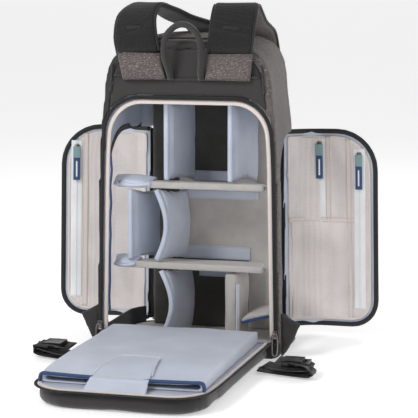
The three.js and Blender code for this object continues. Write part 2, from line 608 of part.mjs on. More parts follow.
// Its feet stand just inside the strap anchors; across is given here as a share of that.
const handleFoot = 0.42 * STRAP.width - HANDLE_RADIUS - GAP;
const handleHalf = [
  [1, -0.5, 0.8393, 6.5], [1.019, -0.5, 0.871, 14], [1.185, -0.5, 0.9346, 26],
  [1.074, -0.5, 0.9869, 27], [0.556, -0.5, 1.0168, 26], [0, -0.5, 1.0262, 26],
].map(([across, ...rest]) => onStrap([(across * handleFoot) / STRAP.width, ...rest]));
const handlePath = new THREE.CatmullRomCurve3([...mirrorX(handleHalf.slice(0, -1)), ...handleHalf.slice().reverse()]);
const ringOf = (radius, sides) => {
  const shape = new THREE.Shape();
  for (let i = 0; i < sides; i++) {
    const turn = (i / sides) * 2 * Math.PI;
    shape[i ? "lineTo" : "moveTo"](radius * Math.cos(turn), radius * Math.sin(turn));
  }
  return shape;
};
const handle = new THREE.ExtrudeGeometry(ringOf(HANDLE_RADIUS, 8), { steps: 28, extrudePath: handlePath });
piece("grab_handle", handle, CHARCOAL);

export default root;
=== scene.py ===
"""Camera backpack standing open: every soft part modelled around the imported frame."""

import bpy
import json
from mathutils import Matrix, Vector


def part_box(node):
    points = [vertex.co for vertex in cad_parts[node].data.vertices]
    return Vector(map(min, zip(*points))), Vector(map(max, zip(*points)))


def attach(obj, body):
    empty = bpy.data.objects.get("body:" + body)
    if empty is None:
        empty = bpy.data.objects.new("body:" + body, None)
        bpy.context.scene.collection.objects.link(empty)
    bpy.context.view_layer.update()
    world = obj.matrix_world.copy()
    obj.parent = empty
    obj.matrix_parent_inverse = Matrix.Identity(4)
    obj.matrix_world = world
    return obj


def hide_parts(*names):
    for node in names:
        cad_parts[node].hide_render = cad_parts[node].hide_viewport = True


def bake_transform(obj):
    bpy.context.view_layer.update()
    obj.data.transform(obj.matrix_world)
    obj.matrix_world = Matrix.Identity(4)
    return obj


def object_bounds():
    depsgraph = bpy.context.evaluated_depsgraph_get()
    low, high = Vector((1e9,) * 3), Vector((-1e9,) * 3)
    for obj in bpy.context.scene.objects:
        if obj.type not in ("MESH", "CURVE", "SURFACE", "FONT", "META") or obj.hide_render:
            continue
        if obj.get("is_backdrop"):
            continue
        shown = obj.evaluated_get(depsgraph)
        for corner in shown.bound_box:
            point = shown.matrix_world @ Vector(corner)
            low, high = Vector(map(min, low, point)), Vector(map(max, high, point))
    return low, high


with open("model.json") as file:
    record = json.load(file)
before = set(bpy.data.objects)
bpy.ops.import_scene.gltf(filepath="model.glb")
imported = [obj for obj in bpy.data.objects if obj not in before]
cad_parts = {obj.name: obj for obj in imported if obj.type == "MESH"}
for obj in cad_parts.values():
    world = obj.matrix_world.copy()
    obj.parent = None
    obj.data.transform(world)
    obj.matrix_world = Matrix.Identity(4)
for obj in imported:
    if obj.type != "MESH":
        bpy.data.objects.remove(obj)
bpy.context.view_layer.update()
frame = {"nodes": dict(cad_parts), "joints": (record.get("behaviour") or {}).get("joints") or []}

import json
import math

import bmesh
import bpy
from mathutils import Matrix, Vector, noise

bl_info = {
    "name": "Camera Backpack",
    "version": (1, 0, 0),
    "blender": (4, 5, 0),
    "location": "View3D > Sidebar > Backpack",
    "description": "Builds the fabric, zips, pads and webbing of an opened camera backpack",
    "category": "Add Mesh",
}

MM = 0.001
JOINTS = {j["name"]: j for j in frame["joints"]}


# ---- Colours and materials ----
def linear(code):
    """An sRGB hex colour as linear red, green and blue."""
    parts = [int(code[i : i + 2], 16) / 255 for i in (0, 2, 4)]
    return tuple(c / 12.92 if c <= 0.04045 else ((c + 0.055) / 1.055) ** 2.4 for c in parts)


def shade(colour, factor):
    """A linear colour made darker or lighter."""
    return tuple(min(1.0, c * factor) for c in colour[:3]) + (1.0,)


def add(tree, kind, inputs=None, **settings):
    """Adds a node with its settings; inputs maps a socket's name or number to a value or to a socket to link."""
    made = tree.nodes.new(kind)
    for key, value in settings.items():
        setattr(made, key, value)
    for key, value in (inputs or {}).items():
        if isinstance(value, bpy.types.NodeSocket):
            tree.links.new(value, made.inputs[key])
        else:
            made.inputs[key].default_value = value
    return made


def start_material(name, roughness, metallic=0.0, sheen=0.0):
    material = bpy.data.materials.new(name)
    material.use_nodes = True
    tree = material.node_tree
    tree.nodes.clear()
    values = {"Roughness": roughness, "Metallic": metallic, "Sheen Weight": sheen}
    shader = add(tree, "ShaderNodeBsdfPrincipled", values)
    add(tree, "ShaderNodeOutputMaterial", {"Surface": shader.outputs[0]})
    place = add(tree, "ShaderNodeTexCoord").outputs["Object"]
    return material, tree, shader, place


def finish_surface(tree, shader, colour, height, depth_mm, rough=None):
    tree.links.new(colour, shader.inputs["Base Color"])
    bump = add(tree, "ShaderNodeBump", {"Height": height, "Distance": depth_mm * MM, "Strength": 1.0})
    tree.links.new(bump.outputs[0], shader.inputs["Normal"])
    if rough is not None:
        tree.links.new(rough, shader.inputs["Roughness"])


def two_tone(tree, level, colour, contrast):
    """A colour that runs from darker to lighter with a level from 0 to 1."""
    tones = {0: level, 1: shade(colour, 1 - contrast), 2: shade(colour, 1 + contrast)}
    return add(tree, "ShaderNodeMixRGB", tones).outputs[0]


def woven(name, colour, thread_mm, depth_mm, contrast, roughness, sheen, fleck=None, crease=0.0):
    """Crossed threads: one set runs round the object, the other up it. A fleck colour gives a heather."""
    material, tree, shader, place = start_material(name, roughness, sheen=sheen)
    turns = math.tau / (thread_mm * MM)
    split = add(tree, "ShaderNodeSeparateXYZ", {0: place}).outputs
    round_it = add(tree, "ShaderNodeMath", {0: split[0], 1: split[1]}, operation="SUBTRACT").outputs[0]
    warp = add(tree, "ShaderNodeMath", {0: round_it, 1: turns}, operation="MULTIPLY").outputs[0]
    weft = add(tree, "ShaderNodeMath", {0: split[2], 1: turns}, operation="MULTIPLY").outputs[0]
    across = add(tree, "ShaderNodeMath", {0: warp}, operation="SINE").outputs[0]
    up = add(tree, "ShaderNodeMath", {0: weft}, operation="SINE").outputs[0]
    weave = add(tree, "ShaderNodeMath", {0: across, 1: up}, operation="MULTIPLY").outputs[0]
    threads = add(tree, "ShaderNodeMapRange", {"Value": weave, 1: -1.0, 2: 1.0}).outputs[0]
    shadow = two_tone(tree, threads, colour, contrast)
    cloudy = add(tree, "ShaderNodeTexNoise", {"Vector": place, "Scale": 14.0, "Detail": 4.0}).outputs[0]
    worn = add(tree, "ShaderNodeMapRange", {"Value": cloudy, 1: 0.3, 2: 0.7, 3: 0.9, 4: 1.08}).outputs[0]
    tinted = add(tree, "ShaderNodeVectorMath", {0: shadow, "Scale": worn}, operation="SCALE").outputs[0]
    if fleck:
        # Light and dark yarns are a few millimetres long and lie along the weft.
        stretch = add(tree, "ShaderNodeMapping", {"Vector": place, "Scale": (260, 260, 900)}).outputs[0]
        yarn = add(tree, "ShaderNodeTexNoise", {"Vector": stretch, "Scale": 1.0, "Detail": 2.0}).outputs[0]
        pale = add(tree, "ShaderNodeMapRange", {"Value": yarn, 1: 0.52, 2: 0.68}).outputs[0]
        tinted = add(tree, "ShaderNodeMixRGB", {0: pale, 1: tinted, 2: fleck}).outputs[0]
        upright = add(tree, "ShaderNodeMapping", {"Vector": place, "Scale": (900, 900, 210)}).outputs[0]
        dark = add(tree, "ShaderNodeTexNoise", {"Vector": upright, "Scale": 1.0, "Detail": 2.0}).outputs[0]
        deep = add(tree, "ShaderNodeMapRange", {"Value": dark, 1: 0.54, 2: 0.72, 4: 0.75}).outputs[0]
        tinted = add(tree, "ShaderNodeMixRGB", {0: deep, 1: tinted, 2: shade(colour, 0.42)}).outputs[0]
    height = threads
    if crease:
        waves = {"Vector": place, "Scale": 22.0, "Detail": 3.0, "Distortion": 1.2}
        creases = add(tree, "ShaderNodeTexNoise", waves).outputs[0]
        layers = {0: creases, 1: crease / depth_mm, 2: threads}
        height = add(tree, "ShaderNodeMath", layers, operation="MULTIPLY_ADD").outputs[0]
    finish_surface(tree, shader, tinted, height, depth_mm)
    return material


def napped(name, colour, fibre_mm, depth_mm, contrast, roughness, sheen):
    """Brushed or felted fibres with no thread direction."""
    material, tree, shader, place = start_material(name, roughness, sheen=sheen)
    spread = {"Vector": place, "Scale": 1 / (fibre_mm * MM), "Detail": 5.0, "Roughness": 0.7}
    fibres = add(tree, "ShaderNodeTexNoise", spread).outputs[0]
    patches = add(tree, "ShaderNodeTexNoise", {"Vector": place, "Scale": 55.0, "Detail": 3.0}).outputs[0]
    both = add(tree, "ShaderNodeMath", {0: patches, 1: 0.6, 2: fibres}, operation="MULTIPLY_ADD").outputs[0]
    level = add(tree, "ShaderNodeMapRange", {"Value": both, 1: 0.55, 2: 1.05}).outputs[0]
    tint = two_tone(tree, level, colour, contrast)
    finish_surface(tree, shader, tint, both, depth_mm)
    return material


def knitted(name, colour, hole_colour, cell_mm, hole, depth_mm, roughness, sheen):
    """A knitted mesh: round holes a cell apart, darker than the yarn between them."""
    material, tree, shader, place = start_material(name, roughness, sheen=sheen)
    cells = add(
        tree, "ShaderNodeTexVoronoi", {"Vector": place, "Scale": 1 / (cell_mm * MM), "Randomness": 0.25}
    ).outputs["Distance"]
    yarn = add(tree, "ShaderNodeMapRange", {"Value": cells, 1: hole * 0.6, 2: hole * 1.25}).outputs[0]
    tint = add(tree, "ShaderNodeMixRGB", {0: yarn, 1: hole_colour, 2: shade(colour, 1.0)}).outputs[0]
    cloudy = add(tree, "ShaderNodeTexNoise", {"Vector": place, "Scale": 18.0, "Detail": 3.0}).outputs[0]
    worn = add(tree, "ShaderNodeMapRange", {"Value": cloudy, 1: 0.3, 2: 0.7, 3: 0.92, 4: 1.06}).outputs[0]
    tinted = add(tree, "ShaderNodeVectorMath", {0: tint, "Scale": worn}, operation="SCALE").outputs[0]
    finish_surface(tree, shader, tinted, yarn, depth_mm)
    return material


def ribbed(name, colour, rib_mm, depth_mm, contrast, roughness, sheen):
    """Webbing and binding: ribs lie square to the piece's own length, which its UV map runs along."""
    material, tree, shader, place = start_material(name, roughness, sheen=sheen)
    run = add(tree, "ShaderNodeUVMap", uv_map="UVMap").outputs[0]
    split = add(tree, "ShaderNodeSeparateXYZ", {0: run}).outputs
    phase = add(tree, "ShaderNodeMath", {0: split[0], 1: math.tau / (rib_mm * MM)}, operation="MULTIPLY").outputs[0]
    wave = add(tree, "ShaderNodeMath", {0: phase}, operation="SINE").outputs[0]
    ribs = add(tree, "ShaderNodeMapRange", {"Value": wave, 1: -1.0, 2: 1.0}).outputs[0]
    grain = add(tree, "ShaderNodeTexNoise", {"Vector": place, "Scale": 700.0, "Detail": 2.0}).outputs[0]
    level = add(tree, "ShaderNodeMath", {0: grain, 1: 0.5, 2: ribs}, operation="MULTIPLY_ADD").outputs[0]
    tint = two_tone(tree, level, colour, contrast)
    finish_surface(tree, shader, tint, level, depth_mm)
    return material


def moulded(name, colour, roughness, metallic=0.0, grain_mm=0.6, depth_mm=0.04):
    """Moulded plastic or cast metal: a faint grain, and gloss that varies a little."""
    material, tree, shader, place = start_material(name, roughness, metallic=metallic)
    grain = add(tree, "ShaderNodeTexNoise", {"Vector": place, "Scale": 1 / (grain_mm * MM), "Detail": 3.0}).outputs[0]
    tint = add(tree, "ShaderNodeMixRGB", {0: grain, 1: shade(colour, 0.88), 2: shade(colour, 1.1)}).outputs[0]
    gloss = {"Value": grain, 3: roughness * 0.85, 4: min(1, roughness * 1.2)}
    rough = add(tree, "ShaderNodeMapRange", gloss).outputs[0]
    finish_surface(tree, shader, tint, grain, depth_mm, rough)
    return material


class BackpackColours(bpy.types.PropertyGroup):
    """Colours of the fabrics and fittings."""

    heather: bpy.props.FloatVectorProperty(
        name="Heather", description="Outer polyester", subtype="COLOR", default=linear("5a5250"))
    charcoal: bpy.props.FloatVectorProperty(
        name="Charcoal", description="Yoke, back pad and handle", subtype="COLOR", default=linear("252221"))
    black: bpy.props.FloatVectorProperty(
        name="Black", description="Webbing and outer zips", subtype="COLOR", default=linear("1c1b1c"))
    air_mesh: bpy.props.FloatVectorProperty(
        name="Air mesh", description="Shoulder straps", subtype="COLOR", default=linear("2b2a2c"))
    felt: bpy.props.FloatVectorProperty(
        name="Felt", description="Inner walls and shelves", subtype="COLOR", default=linear("bab6b2"))
    nylon: bpy.props.FloatVectorProperty(
        name="Nylon", description="Dividers and laptop sleeve", subtype="COLOR", default=linear("c3cad9"))
    binding: bpy.props.FloatVectorProperty(
        name="Binding", description="Ribbed edge binding", subtype="COLOR", default=linear("ddd2cc"))
    pocket: bpy.props.FloatVectorProperty(
        name="Pocket mesh", description="Door pockets", subtype="COLOR", default=linear("cdc6c4"))
    white: bpy.props.FloatVectorProperty(
        name="White", description="Pocket zips", subtype="COLOR", default=linear("eef0f2"))
    navy: bpy.props.FloatVectorProperty(
        name="Navy", description="Zip pulls and sleeve edge", subtype="COLOR", default=linear("2c4772"))
    teal: bpy.props.FloatVectorProperty(
        name="Teal", description="Fabric tab of the zip pulls", subtype="COLOR", default=linear("7f9c9f"))
    steel: bpy.props.FloatVectorProperty(
        name="Metal", description="Zip sliders", subtype="COLOR", default=linear("8f8c88"))


class BackpackSizes(bpy.types.PropertyGroup):
    """Sizes of the sewn detail."""

    stitch: bpy.props.FloatProperty(
        name="Stitch", description="Length of one stitch", default=3.4 * MM, unit="LENGTH")
    tooth: bpy.props.FloatProperty(
        name="Coil pitch", description="Spacing of the zip coils", default=2.6 * MM, unit="LENGTH")
    voxel: bpy.props.FloatProperty(
        name="Fabric grid", description="Mesh spacing of the padded walls", default=3.6 * MM, unit="LENGTH")
    wrinkle: bpy.props.FloatProperty(
        name="Wrinkle", description="Depth of the soft folds in the fabric", default=0.9 * MM, unit="LENGTH")


MATERIALS = {}


def make_materials(c):
    MATERIALS.update(
        # Two-tone polyester yarn, woven and brushed: a matt cloth with short light and dark flecks.
        heather=woven("heather polyester", c.heather, 1.1, 0.18, 0.2, 0.92, 0.2, fleck=(*linear("8f8684"), 1)),
        # The same loop felt darkened to charcoal: painted shade on the deep walls of the bays, where shadow falls.
        dark_felt=napped("loop felt darkened as painted shade", linear("4a4845"), 0.7, 0.35, 0.3, 0.97, 0.2),
        # Smooth dark oxford polyester: a tight weave with a soft highlight.
        charcoal=woven("charcoal oxford", c.charcoal, 1.3, 0.1, 0.22, 0.62, 0.3, crease=0.25),
        # Nylon webbing: clear ribs across its length.
        webbing=ribbed("nylon webbing", c.black, 2.2, 0.25, 0.35, 0.66, 0.2),
        # Polyester zip tape, twill woven.
        tape=woven("black zip tape", c.black, 1.2, 0.1, 0.25, 0.7, 0.2),
        # Nylon coil, extruded: smoother than the tape it is sewn to.
        coil=moulded("black nylon coil", shade(c.black, 1.1), 0.38),
        # Spacer mesh over foam: open round holes.
        air_mesh=knitted(
            "polyester air mesh", shade(c.air_mesh, 0.5), shade(c.air_mesh, 0.12), 3.6, 0.5, 0.5, 0.85, 0.12
        ),
        # Smooth dark knit on the left strap's side away from the air mesh: painted shade where that side lies in
        # shadow.
        strap_knit=woven("dark knit as painted strap shade", shade(c.air_mesh, 1.0), 1.2, 0.08, 0.2, 0.72, 0.35),
        # Brushed loop felt that hook tape grips.
        felt=napped("brushed loop felt", c.felt, 0.7, 0.35, 0.12, 0.97, 0.35),
        # Thin coated nylon over foam: slightly shiny, softly creased.
        nylon=woven("pale coated nylon", c.nylon, 1.0, 0.05, 0.035, 0.46, 0.25, crease=0.5),
        # The same nylon with its light side out.
        pale=woven("white nylon edge", linear("e3e6ee"), 1.0, 0.05, 0.03, 0.5, 0.25, crease=0.4),
        # Grosgrain binding: fine ribs across its length.
        binding=ribbed("beige grosgrain", c.binding, 1.9, 0.22, 0.1, 0.82, 0.2),
        # Fine tricot mesh with small holes.
        mesh=knitted(
            "pink-grey tricot mesh", shade(c.pocket, 1.22), shade(c.pocket, 1.0), 2.4, 0.36, 0.16, 0.86, 0.25
        ),
        # White zip tape and coil.
        white_tape=woven("white zip tape", c.white, 1.2, 0.06, 0.04, 0.6, 0.1),
        white_coil=moulded("white nylon coil", c.white, 0.4),
        # Moulded rubbery pull, and the woven tab that holds it.
        navy=moulded("navy moulded pull", c.navy, 0.5, grain_mm=0.9),
        navy_tape=ribbed("navy grosgrain", c.navy, 1.9, 0.2, 0.2, 0.7, 0.15),
        teal=ribbed("teal woven tab", c.teal, 1.6, 0.15, 0.15, 0.75, 0.15),
        # Zinc cast sliders with a nickel finish.
        steel=moulded("nickel zinc", c.steel, 0.28, metallic=1.0, grain_mm=1.2, depth_mm=0.02),
        # Acetal buckles.
        buckle=moulded("black acetal", shade(c.black, 1.1), 0.36, grain_mm=0.7),
        # Polyester thread.
        thread=napped("grey thread", linear("8b8684"), 0.5, 0.05, 0.15, 0.8, 0.2),
        dark_thread=napped("black thread", linear("1d1c1d"), 0.5, 0.05, 0.15, 0.8, 0.2),
    )


# ---- Mesh helpers ----
def mm(x, y, z):
    """A point given in millimetres."""
    return Vector((x, y, z)) * MM


def cad_copy(*names):
    """A merged copy of CAD nodes as one bmesh."""
    bm = bmesh.new()
    for name in names:
        bm.from_mesh(frame["nodes"][name].data)
    bmesh.ops.remove_doubles(bm, verts=bm.verts, dist=1e-5)
    return bm


def to_object(name, bm, material_names):
    """A bmesh as an object; it notes its first material's name on the object."""
    mesh = bpy.data.meshes.new(name)
    bm.to_mesh(mesh)
    bm.free()
    made = bpy.data.objects.new(name, mesh)
    bpy.context.scene.collection.objects.link(made)
    for material in material_names:
        mesh.materials.append(MATERIALS[material])
    made["cloth"] = material_names[0]
    return made


def give_slot(made):
    del made["cloth"]


def settle(made, body, stands_for=()):
    """Shades a finished piece, and says which body it rides on and what it stands for."""
    made.data.shade_smooth()
    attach(made, body)
    give_slot(made)
    if stands_for:
        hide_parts(*stands_for)
    return made


def joined(made):
    """Shades a fold of cloth that reaches from the bag toward a moving body, and bakes its place into its mesh."""
    made.data.shade_smooth()
    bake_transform(made)
    give_slot(made)


def baked(made):
    """Applies every modifier of an object to its mesh."""
    depsgraph = bpy.context.evaluated_depsgraph_get()
    mesh = bpy.data.meshes.new_from_object(made.evaluated_get(depsgraph))
    made.modifiers.clear()
    old = made.data
    made.data = mesh
    bpy.data.meshes.remove(old)


def remeshed(made, voxel):
    modifier = made.modifiers.new("grid", "REMESH")
    modifier.mode = "VOXEL"
    modifier.voxel_size = voxel
    baked(made)


def reshape(made, rounds, move):
    """Relaxes a mesh, then moves each vertex by what move(co, normal) returns."""
    bm = bmesh.new()
    bm.from_mesh(made.data)
    for _ in range(rounds):
        bmesh.ops.smooth_vert(bm, verts=bm.verts, factor=0.5, use_axis_x=True, use_axis_y=True, use_axis_z=True)
    bm.normal_update()
    shifts = [move(v.co, v.normal) for v in bm.verts]
    for vert, shift in zip(bm.verts, shifts):
        vert.co += shift
    bm.to_mesh(made.data)
    bm.free()


def folds(co, size, depth, seed=0.0):
    """Soft fabric folds: two sizes of noise, in metres."""
    at = co / size + Vector((seed, seed * 0.7, -seed))
    return depth * (noise.noise(at) + 0.45 * noise.noise(at * 2.7))


def softened(
    name, nodes, materials, body, voxel=None, rounds=3, swell=0.35, size=0.05, depth=None, seed=0.0, split=None
):
    """A CAD solid as sewn fabric: edges rounded, surface gently folded. split(co, normal) picks its material."""
    sizes = bpy.context.scene.backpack_sizes
    depth = sizes.wrinkle if depth is None else depth * MM
    made = to_object(name, cad_copy(*nodes), materials)
    remeshed(made, voxel * MM if voxel else sizes.voxel)
    reshape(made, rounds, lambda co, n: n * (swell * MM + folds(co, size, depth, seed)))
    if split:
        for face in made.data.polygons:
            face.material_index = split(face.center, face.normal)
    return settle(made, body, nodes)


def puffed(name, node, material, voxel, cap):
    """A padded CAD solid, ready for the cloth run: a slightly smaller grid under air pressure."""
    made = to_object(name, cad_copy(node), [material])
    remeshed(made, voxel)
    reshape(made, 1, lambda co, n: n * -(1.2 * MM))
    made["cap"] = cap
    cloth = made.modifiers.new("swell", "CLOTH")
    cloth.settings.quality = 4
    cloth.settings.use_pressure = True
    cloth.settings.uniform_pressure_force = 4.0
    cloth.settings.effector_weights.gravity = 0
    cloth.settings.tension_stiffness = 18
    cloth.settings.compression_stiffness = 18
    cloth.settings.bending_stiffness = 1.2
    cloth.collision_settings.use_collision = False
    return made


def swell_all(pads):
    """Runs every pad's cloth together, caps how far it moved, applies it and subdivides once."""
    before = {p.name: [v.co.copy() for v in p.data.vertices] for p in pads}
    scene = bpy.context.scene
    for frame_number in range(1, 21):
        scene.frame_set(frame_number)
    for pad in pads:
        baked(pad)
        cap = pad["cap"]
        for vert, was in zip(pad.data.vertices, before[pad.name]):
            shift = vert.co - was
            if shift.length > cap:
                vert.co = was + shift.normalized() * cap
        del pad["cap"]
        reshape(pad, 2, lambda co, n: n * folds(co, 0.04, 0.5 * MM))
        finer = pad.modifiers.new("finer", "SUBSURF")
        finer.levels = finer.render_levels = 1
        baked(pad)
    scene.frame_set(1)


def heading(points, i, closed=False):
    """The direction of a route at one of its points."""
    count = len(points)
    if closed:
        return (points[(i + 1) % count] - points[i - 1]).normalized()
    return (points[min(i + 1, count - 1)] - points[max(i - 1, 0)]).normalized()


def facing(points, up):
    """A route all of whose points face one way."""
    return points, [up] * len(points)


def square_to(points, across):
    """A route whose points face square to its run and to a direction across it."""
    return points, [heading(points, i).cross(across).normalized() for i in range(len(points))]


def frames_along(points, ups, closed=False):
    """A matrix at each point of a route: X across it, Y up from the surface, Z along it."""
    made = []
    for i, (point, up) in enumerate(zip(points, ups)):
        along = heading(points, i, closed)
        side = up.cross(along).normalized()
        turned = Matrix((side, along.cross(side), along)).transposed()
        made.append(Matrix.Translation(point) @ turned.to_4x4())
    return made


def swept(profile, mats, closed=False):
    """A closed profile carried along frames; its UV map runs along the route in metres."""
    bm = bmesh.new()
    layer = bm.loops.layers.uv.new("UVMap")
    ring = [bm.verts.new(mats[0] @ Vector((x, y, 0))) for x, y in profile]
    edges = [bm.edges.new((ring[i], ring[(i + 1) % len(ring)])) for i in range(len(ring))]
    first = list(edges)
    run = {v: 0.0 for v in ring}
    length = 0.0
    for before, after in zip(mats, mats[1:]):
        length += (after.translation - before.translation).length
        geom = bmesh.ops.extrude_edge_only(bm, edges=edges)["geom"]
        verts = [g for g in geom if isinstance(g, bmesh.types.BMVert)]
        edges = [g for g in geom if isinstance(g, bmesh.types.BMEdge)]
        bmesh.ops.transform(bm, matrix=after @ before.inverted(), verts=verts)
        run.update({v: length for v in verts})
    if closed:
        bmesh.ops.bridge_loops(bm, edges=first + edges)
    else:
        bmesh.ops.holes_fill(bm, edges=first + edges)
    bmesh.ops.recalc_face_normals(bm, faces=bm.faces)
    for face in bm.faces:
        for loop in face.loops:
            loop[layer].uv = (run[loop.vert], 0.0)
    return bm


def merged(name, meshes, materials):
    """Several bmeshes as one object."""
    whole = bmesh.new()
    whole.loops.layers.uv.new("UVMap")
    for bm, index in meshes:
        for face in bm.faces:
            face.material_index = index
            face.smooth = True
        part = bpy.data.meshes.new("part")
        bm.to_mesh(part)
        bm.free()
        whole.from_mesh(part)
        bpy.data.meshes.remove(part)
    return to_object(name, whole, materials)


def box(bm, centre, size, lie=Matrix()):
    bmesh.ops.create_cube(bm, size=1, matrix=lie @ Matrix.Translation(centre) @ Matrix.Diagonal((*size, 1)))


def round_edges(bm, offset, edges=None):
    edges = bm.edges[:] if edges is None else edges
    bmesh.ops.bevel(bm, geom=edges, offset=offset, segments=2, affect="EDGES", profile=0.5, material=-1)


def rounded(width, thick, across=4, crown=0.0):
    """A flat profile with rounded edges, and a crown on its upper side."""
    half, r = width / 2, thick / 2
    nose = [(half - 0.3 * r, 0.7 * r), (half, 0), (half - 0.3 * r, -0.7 * r)]
    spots = [-half + r + (width - thick) * i / across for i in range(across + 1)]
    upper = [(x, r + crown * (1 - (x / half) ** 2)) for x in spots]
    lower = [(-x, -r) for x in spots]
    return upper + nose + lower + [(-x, -y) for x, y in nose]


def circle(radius, count=8):
    return [(radius * math.cos(math.tau * i / count), radius * math.sin(math.tau * i / count)) for i in range(count)]


def resample(points, ups, gap):
    """The same route with even spacing."""
    lengths = [0.0]
    for a, b in zip(points, points[1:]):
        lengths.append(lengths[-1] + (b - a).length)
    count = max(2, round(lengths[-1] / gap))
    out_points, out_ups, k = [], [], 0
    for i in range(count + 1):
        want = lengths[-1] * i / count
        while k < len(lengths) - 2 and lengths[k + 1] < want:
            k += 1
        t = (want - lengths[k]) / max(1e-9, lengths[k + 1] - lengths[k])
        out_points.append(points[k].lerp(points[k + 1], t))
        out_ups.append(ups[k].lerp(ups[k + 1], t).normalized())
    return out_points, out_ups


def beads(points, ups, pitch, size):
    """Small rounded shapes repeated along a route: zip coils, or stitches. size is along, across and up."""
    bm = bmesh.new()
    bm.loops.layers.uv.new("UVMap")
    for place in frames_along(*resample(points, ups, pitch)):
        scale = Matrix.Diagonal((size[1], size[2], size[0], 1))
        bmesh.ops.create_uvsphere(bm, u_segments=6, v_segments=4, radius=0.5, matrix=place @ scale)
    return bm


def lifted(points, ups, height):
    return [p + u * height for p, u in zip(points, ups)]


def zip_piece(name, route, width, body, stands_for, materials=("tape", "coil")):
    """A zip: its tape, and the coil that stands along the middle."""
    pitch = bpy.context.scene.backpack_sizes.tooth
    thick = 1.2 * MM
    points, ups = resample(*route, 6 * MM)
    tape = swept(rounded(width * MM, thick, 3), frames_along(points, ups))
    coil_at = lifted(points, ups, thick * 0.5 + 0.35 * MM)
    coil = beads(coil_at, ups, pitch, (pitch * 0.62, 4.4 * MM, 1.5 * MM))
    return settle(merged(name, [(tape, 0), (coil, 1)], materials), body, [stands_for])


def strip_piece(name, route, width, material, body="bag", thick=1.1, crown=0.0, stitched=None, stands_for=()):
    """A flat woven strip, sewn down by a row of stitches along each edge where asked; sizes in millimetres."""
    points, ups = resample(*route, 5 * MM)
    mats = frames_along(points, ups)
    parts = [(swept(rounded(width * MM, thick * MM, 4, crown * MM), mats), 0)]
    names = [material]
    if stitched:
        stitch = bpy.context.scene.backpack_sizes.stitch
        names.append(stitched)
        for side in (-1, 1):
            row = [m @ mm(side * (width / 2 - 1.6), thick / 2 + 0.1, 0) for m in mats]
            parts.append((beads(row, ups, stitch * 1.35, (stitch, 0.7 * MM, 0.5 * MM)), 1))
    return settle(merged(name, parts, names), body, stands_for)


# ---- The body's own lines, in millimetres as the frame has them ----
WIDTH, DEPTH, HEIGHT = 318, 210, 535
BACK, FRONT = -105, 105
CORNER_START, CORNER_ACROSS = 19.95, 99.06
OPENING_TOP, OPENING_EDGE = 432.0, 3
HINGE_HEIGHT = 27
DOOR_LOW, DOOR_TOP, DOOR_BACK, HINGE_Y = 14.6, 363.8, -78, 85.1
STRAP_WIDTH = 76
OUTWARD, UPWARD = Vector((0, -1, 0)), Vector((0, 0, 1))
SIDES = (("left", -1), ("right", 1))


def half_width(z):
    above = max(0, z - 299.6) / 200.6
    return WIDTH / 2 - 8 * z / 390 - 18 * above * above


def side_at(side, y, z, inward):
    """A point of the body's side, moved inward by some millimetres, with its outward normal; in metres."""
    deep = FRONT - CORNER_START - inward
    across = CORNER_ACROSS - inward
    t = min(0.999, max(0.0, (y - CORNER_START) / deep))
    inset = inward + across * (1 - math.sqrt(1 - t * t))
    slope = across / deep * t / math.sqrt(1 - t * t)
    return mm(side * (half_width(z) - inset), y, z), Vector((side, slope, 0)).normalized()


def inward_of(co):
    """How far a point lies inside the body's side or front face, in millimetres."""
    t = min(0.999, max(0.0, (co.y / MM - CORNER_START) / (FRONT - CORNER_START)))
    inset = CORNER_ACROSS * (1 - math.sqrt(1 - t * t))
    return min(half_width(co.z / MM) - inset - abs(co.x) / MM, FRONT - co.y / MM)


def quarter(count):
    """Cosine and sine along a quarter turn, without its start."""
    return [(math.cos(math.pi / 2 * i / count), math.sin(math.pi / 2 * i / count)) for i in range(1, count + 1)]


def opening_route(inset, foot):
    """The rear opening's outline, from its lower right corner over the top to its lower left, as X and Z."""
    def half_at(z):
        return half_width(z) - OPENING_EDGE - inset

    top, across, up = OPENING_TOP - inset, 62 - inset / 2, 66 - inset / 2
    wide = half_at(top - up)
    heights = [foot + (top - up - foot) * i / 12 for i in range(13)]
    right = [(half_at(z), z) for z in heights]
    right += [(wide - across + across * c, top - up + up * s) for c, s in quarter(8)]
    return right + [(-x, z) for x, z in reversed(right)]


def on_back(route, y):
    return facing([mm(x, y, z) for x, z in route], OUTWARD)


def folded(point):
    """A point of the closed rear panel where it lies with the panel folded to the floor; in millimetres."""
    x, y, z = point
    return mm(x, -106.2 - (z - HINGE_HEIGHT), HINGE_HEIGHT + (y + 106.2))


def on_panel(route, y):
    """A route on the rear panel's inner face, which lies upwards."""
    return facing([folded((x, y, z)) for x, z in route], UPWARD)


def door_route(inset, hinge_inset):
    """A side door's outline as Y and Z, from its foot at the hinge round the free edge to its top there."""
    back, front = DOOR_BACK + inset, HINGE_Y - hinge_inset
    low, high = DOOR_LOW + inset, DOOR_TOP - inset
    small, large = 48 - inset, 72 - inset
    route = [(front - (front - back - small) * i / 8, low) for i in range(9)]
    route += [(back + small - small * s, low + small - small * c) for c, s in quarter(6)]
    route += [(back, low + small + (high - large - low - small) * i / 10) for i in range(1, 11)]
    route += [(back + large - large * c, high - large + large * s) for c, s in quarter(7)]
    route += [(back + large + (front - back - large) * i / 6, high) for i in range(1, 7)]
    return route


def door_turn(side):
    """The matrix that swings a closed door's point to where the door stands open."""
    joint = JOINTS[("left" if side < 0 else "right") + "_door_swing"]
    pivot, axis = Vector(joint["pos_m"]), Vector(joint["axis"])
    turn = Matrix.Rotation(-math.radians(joint["range_deg"][1]), 4, axis)
    return Matrix.Translation(pivot) @ turn @ Matrix.Translation(-pivot)


def on_side(side, route, inward):
    pairs = [side_at(side, y, z, inward) for y, z in route]
    return [p for p, _ in pairs], [n for _, n in pairs]


def in_side(side, route, inward):
    """A route on the body's side that faces inwards."""
    points, outs = on_side(side, route, inward)
    return points, [-out for out in outs]


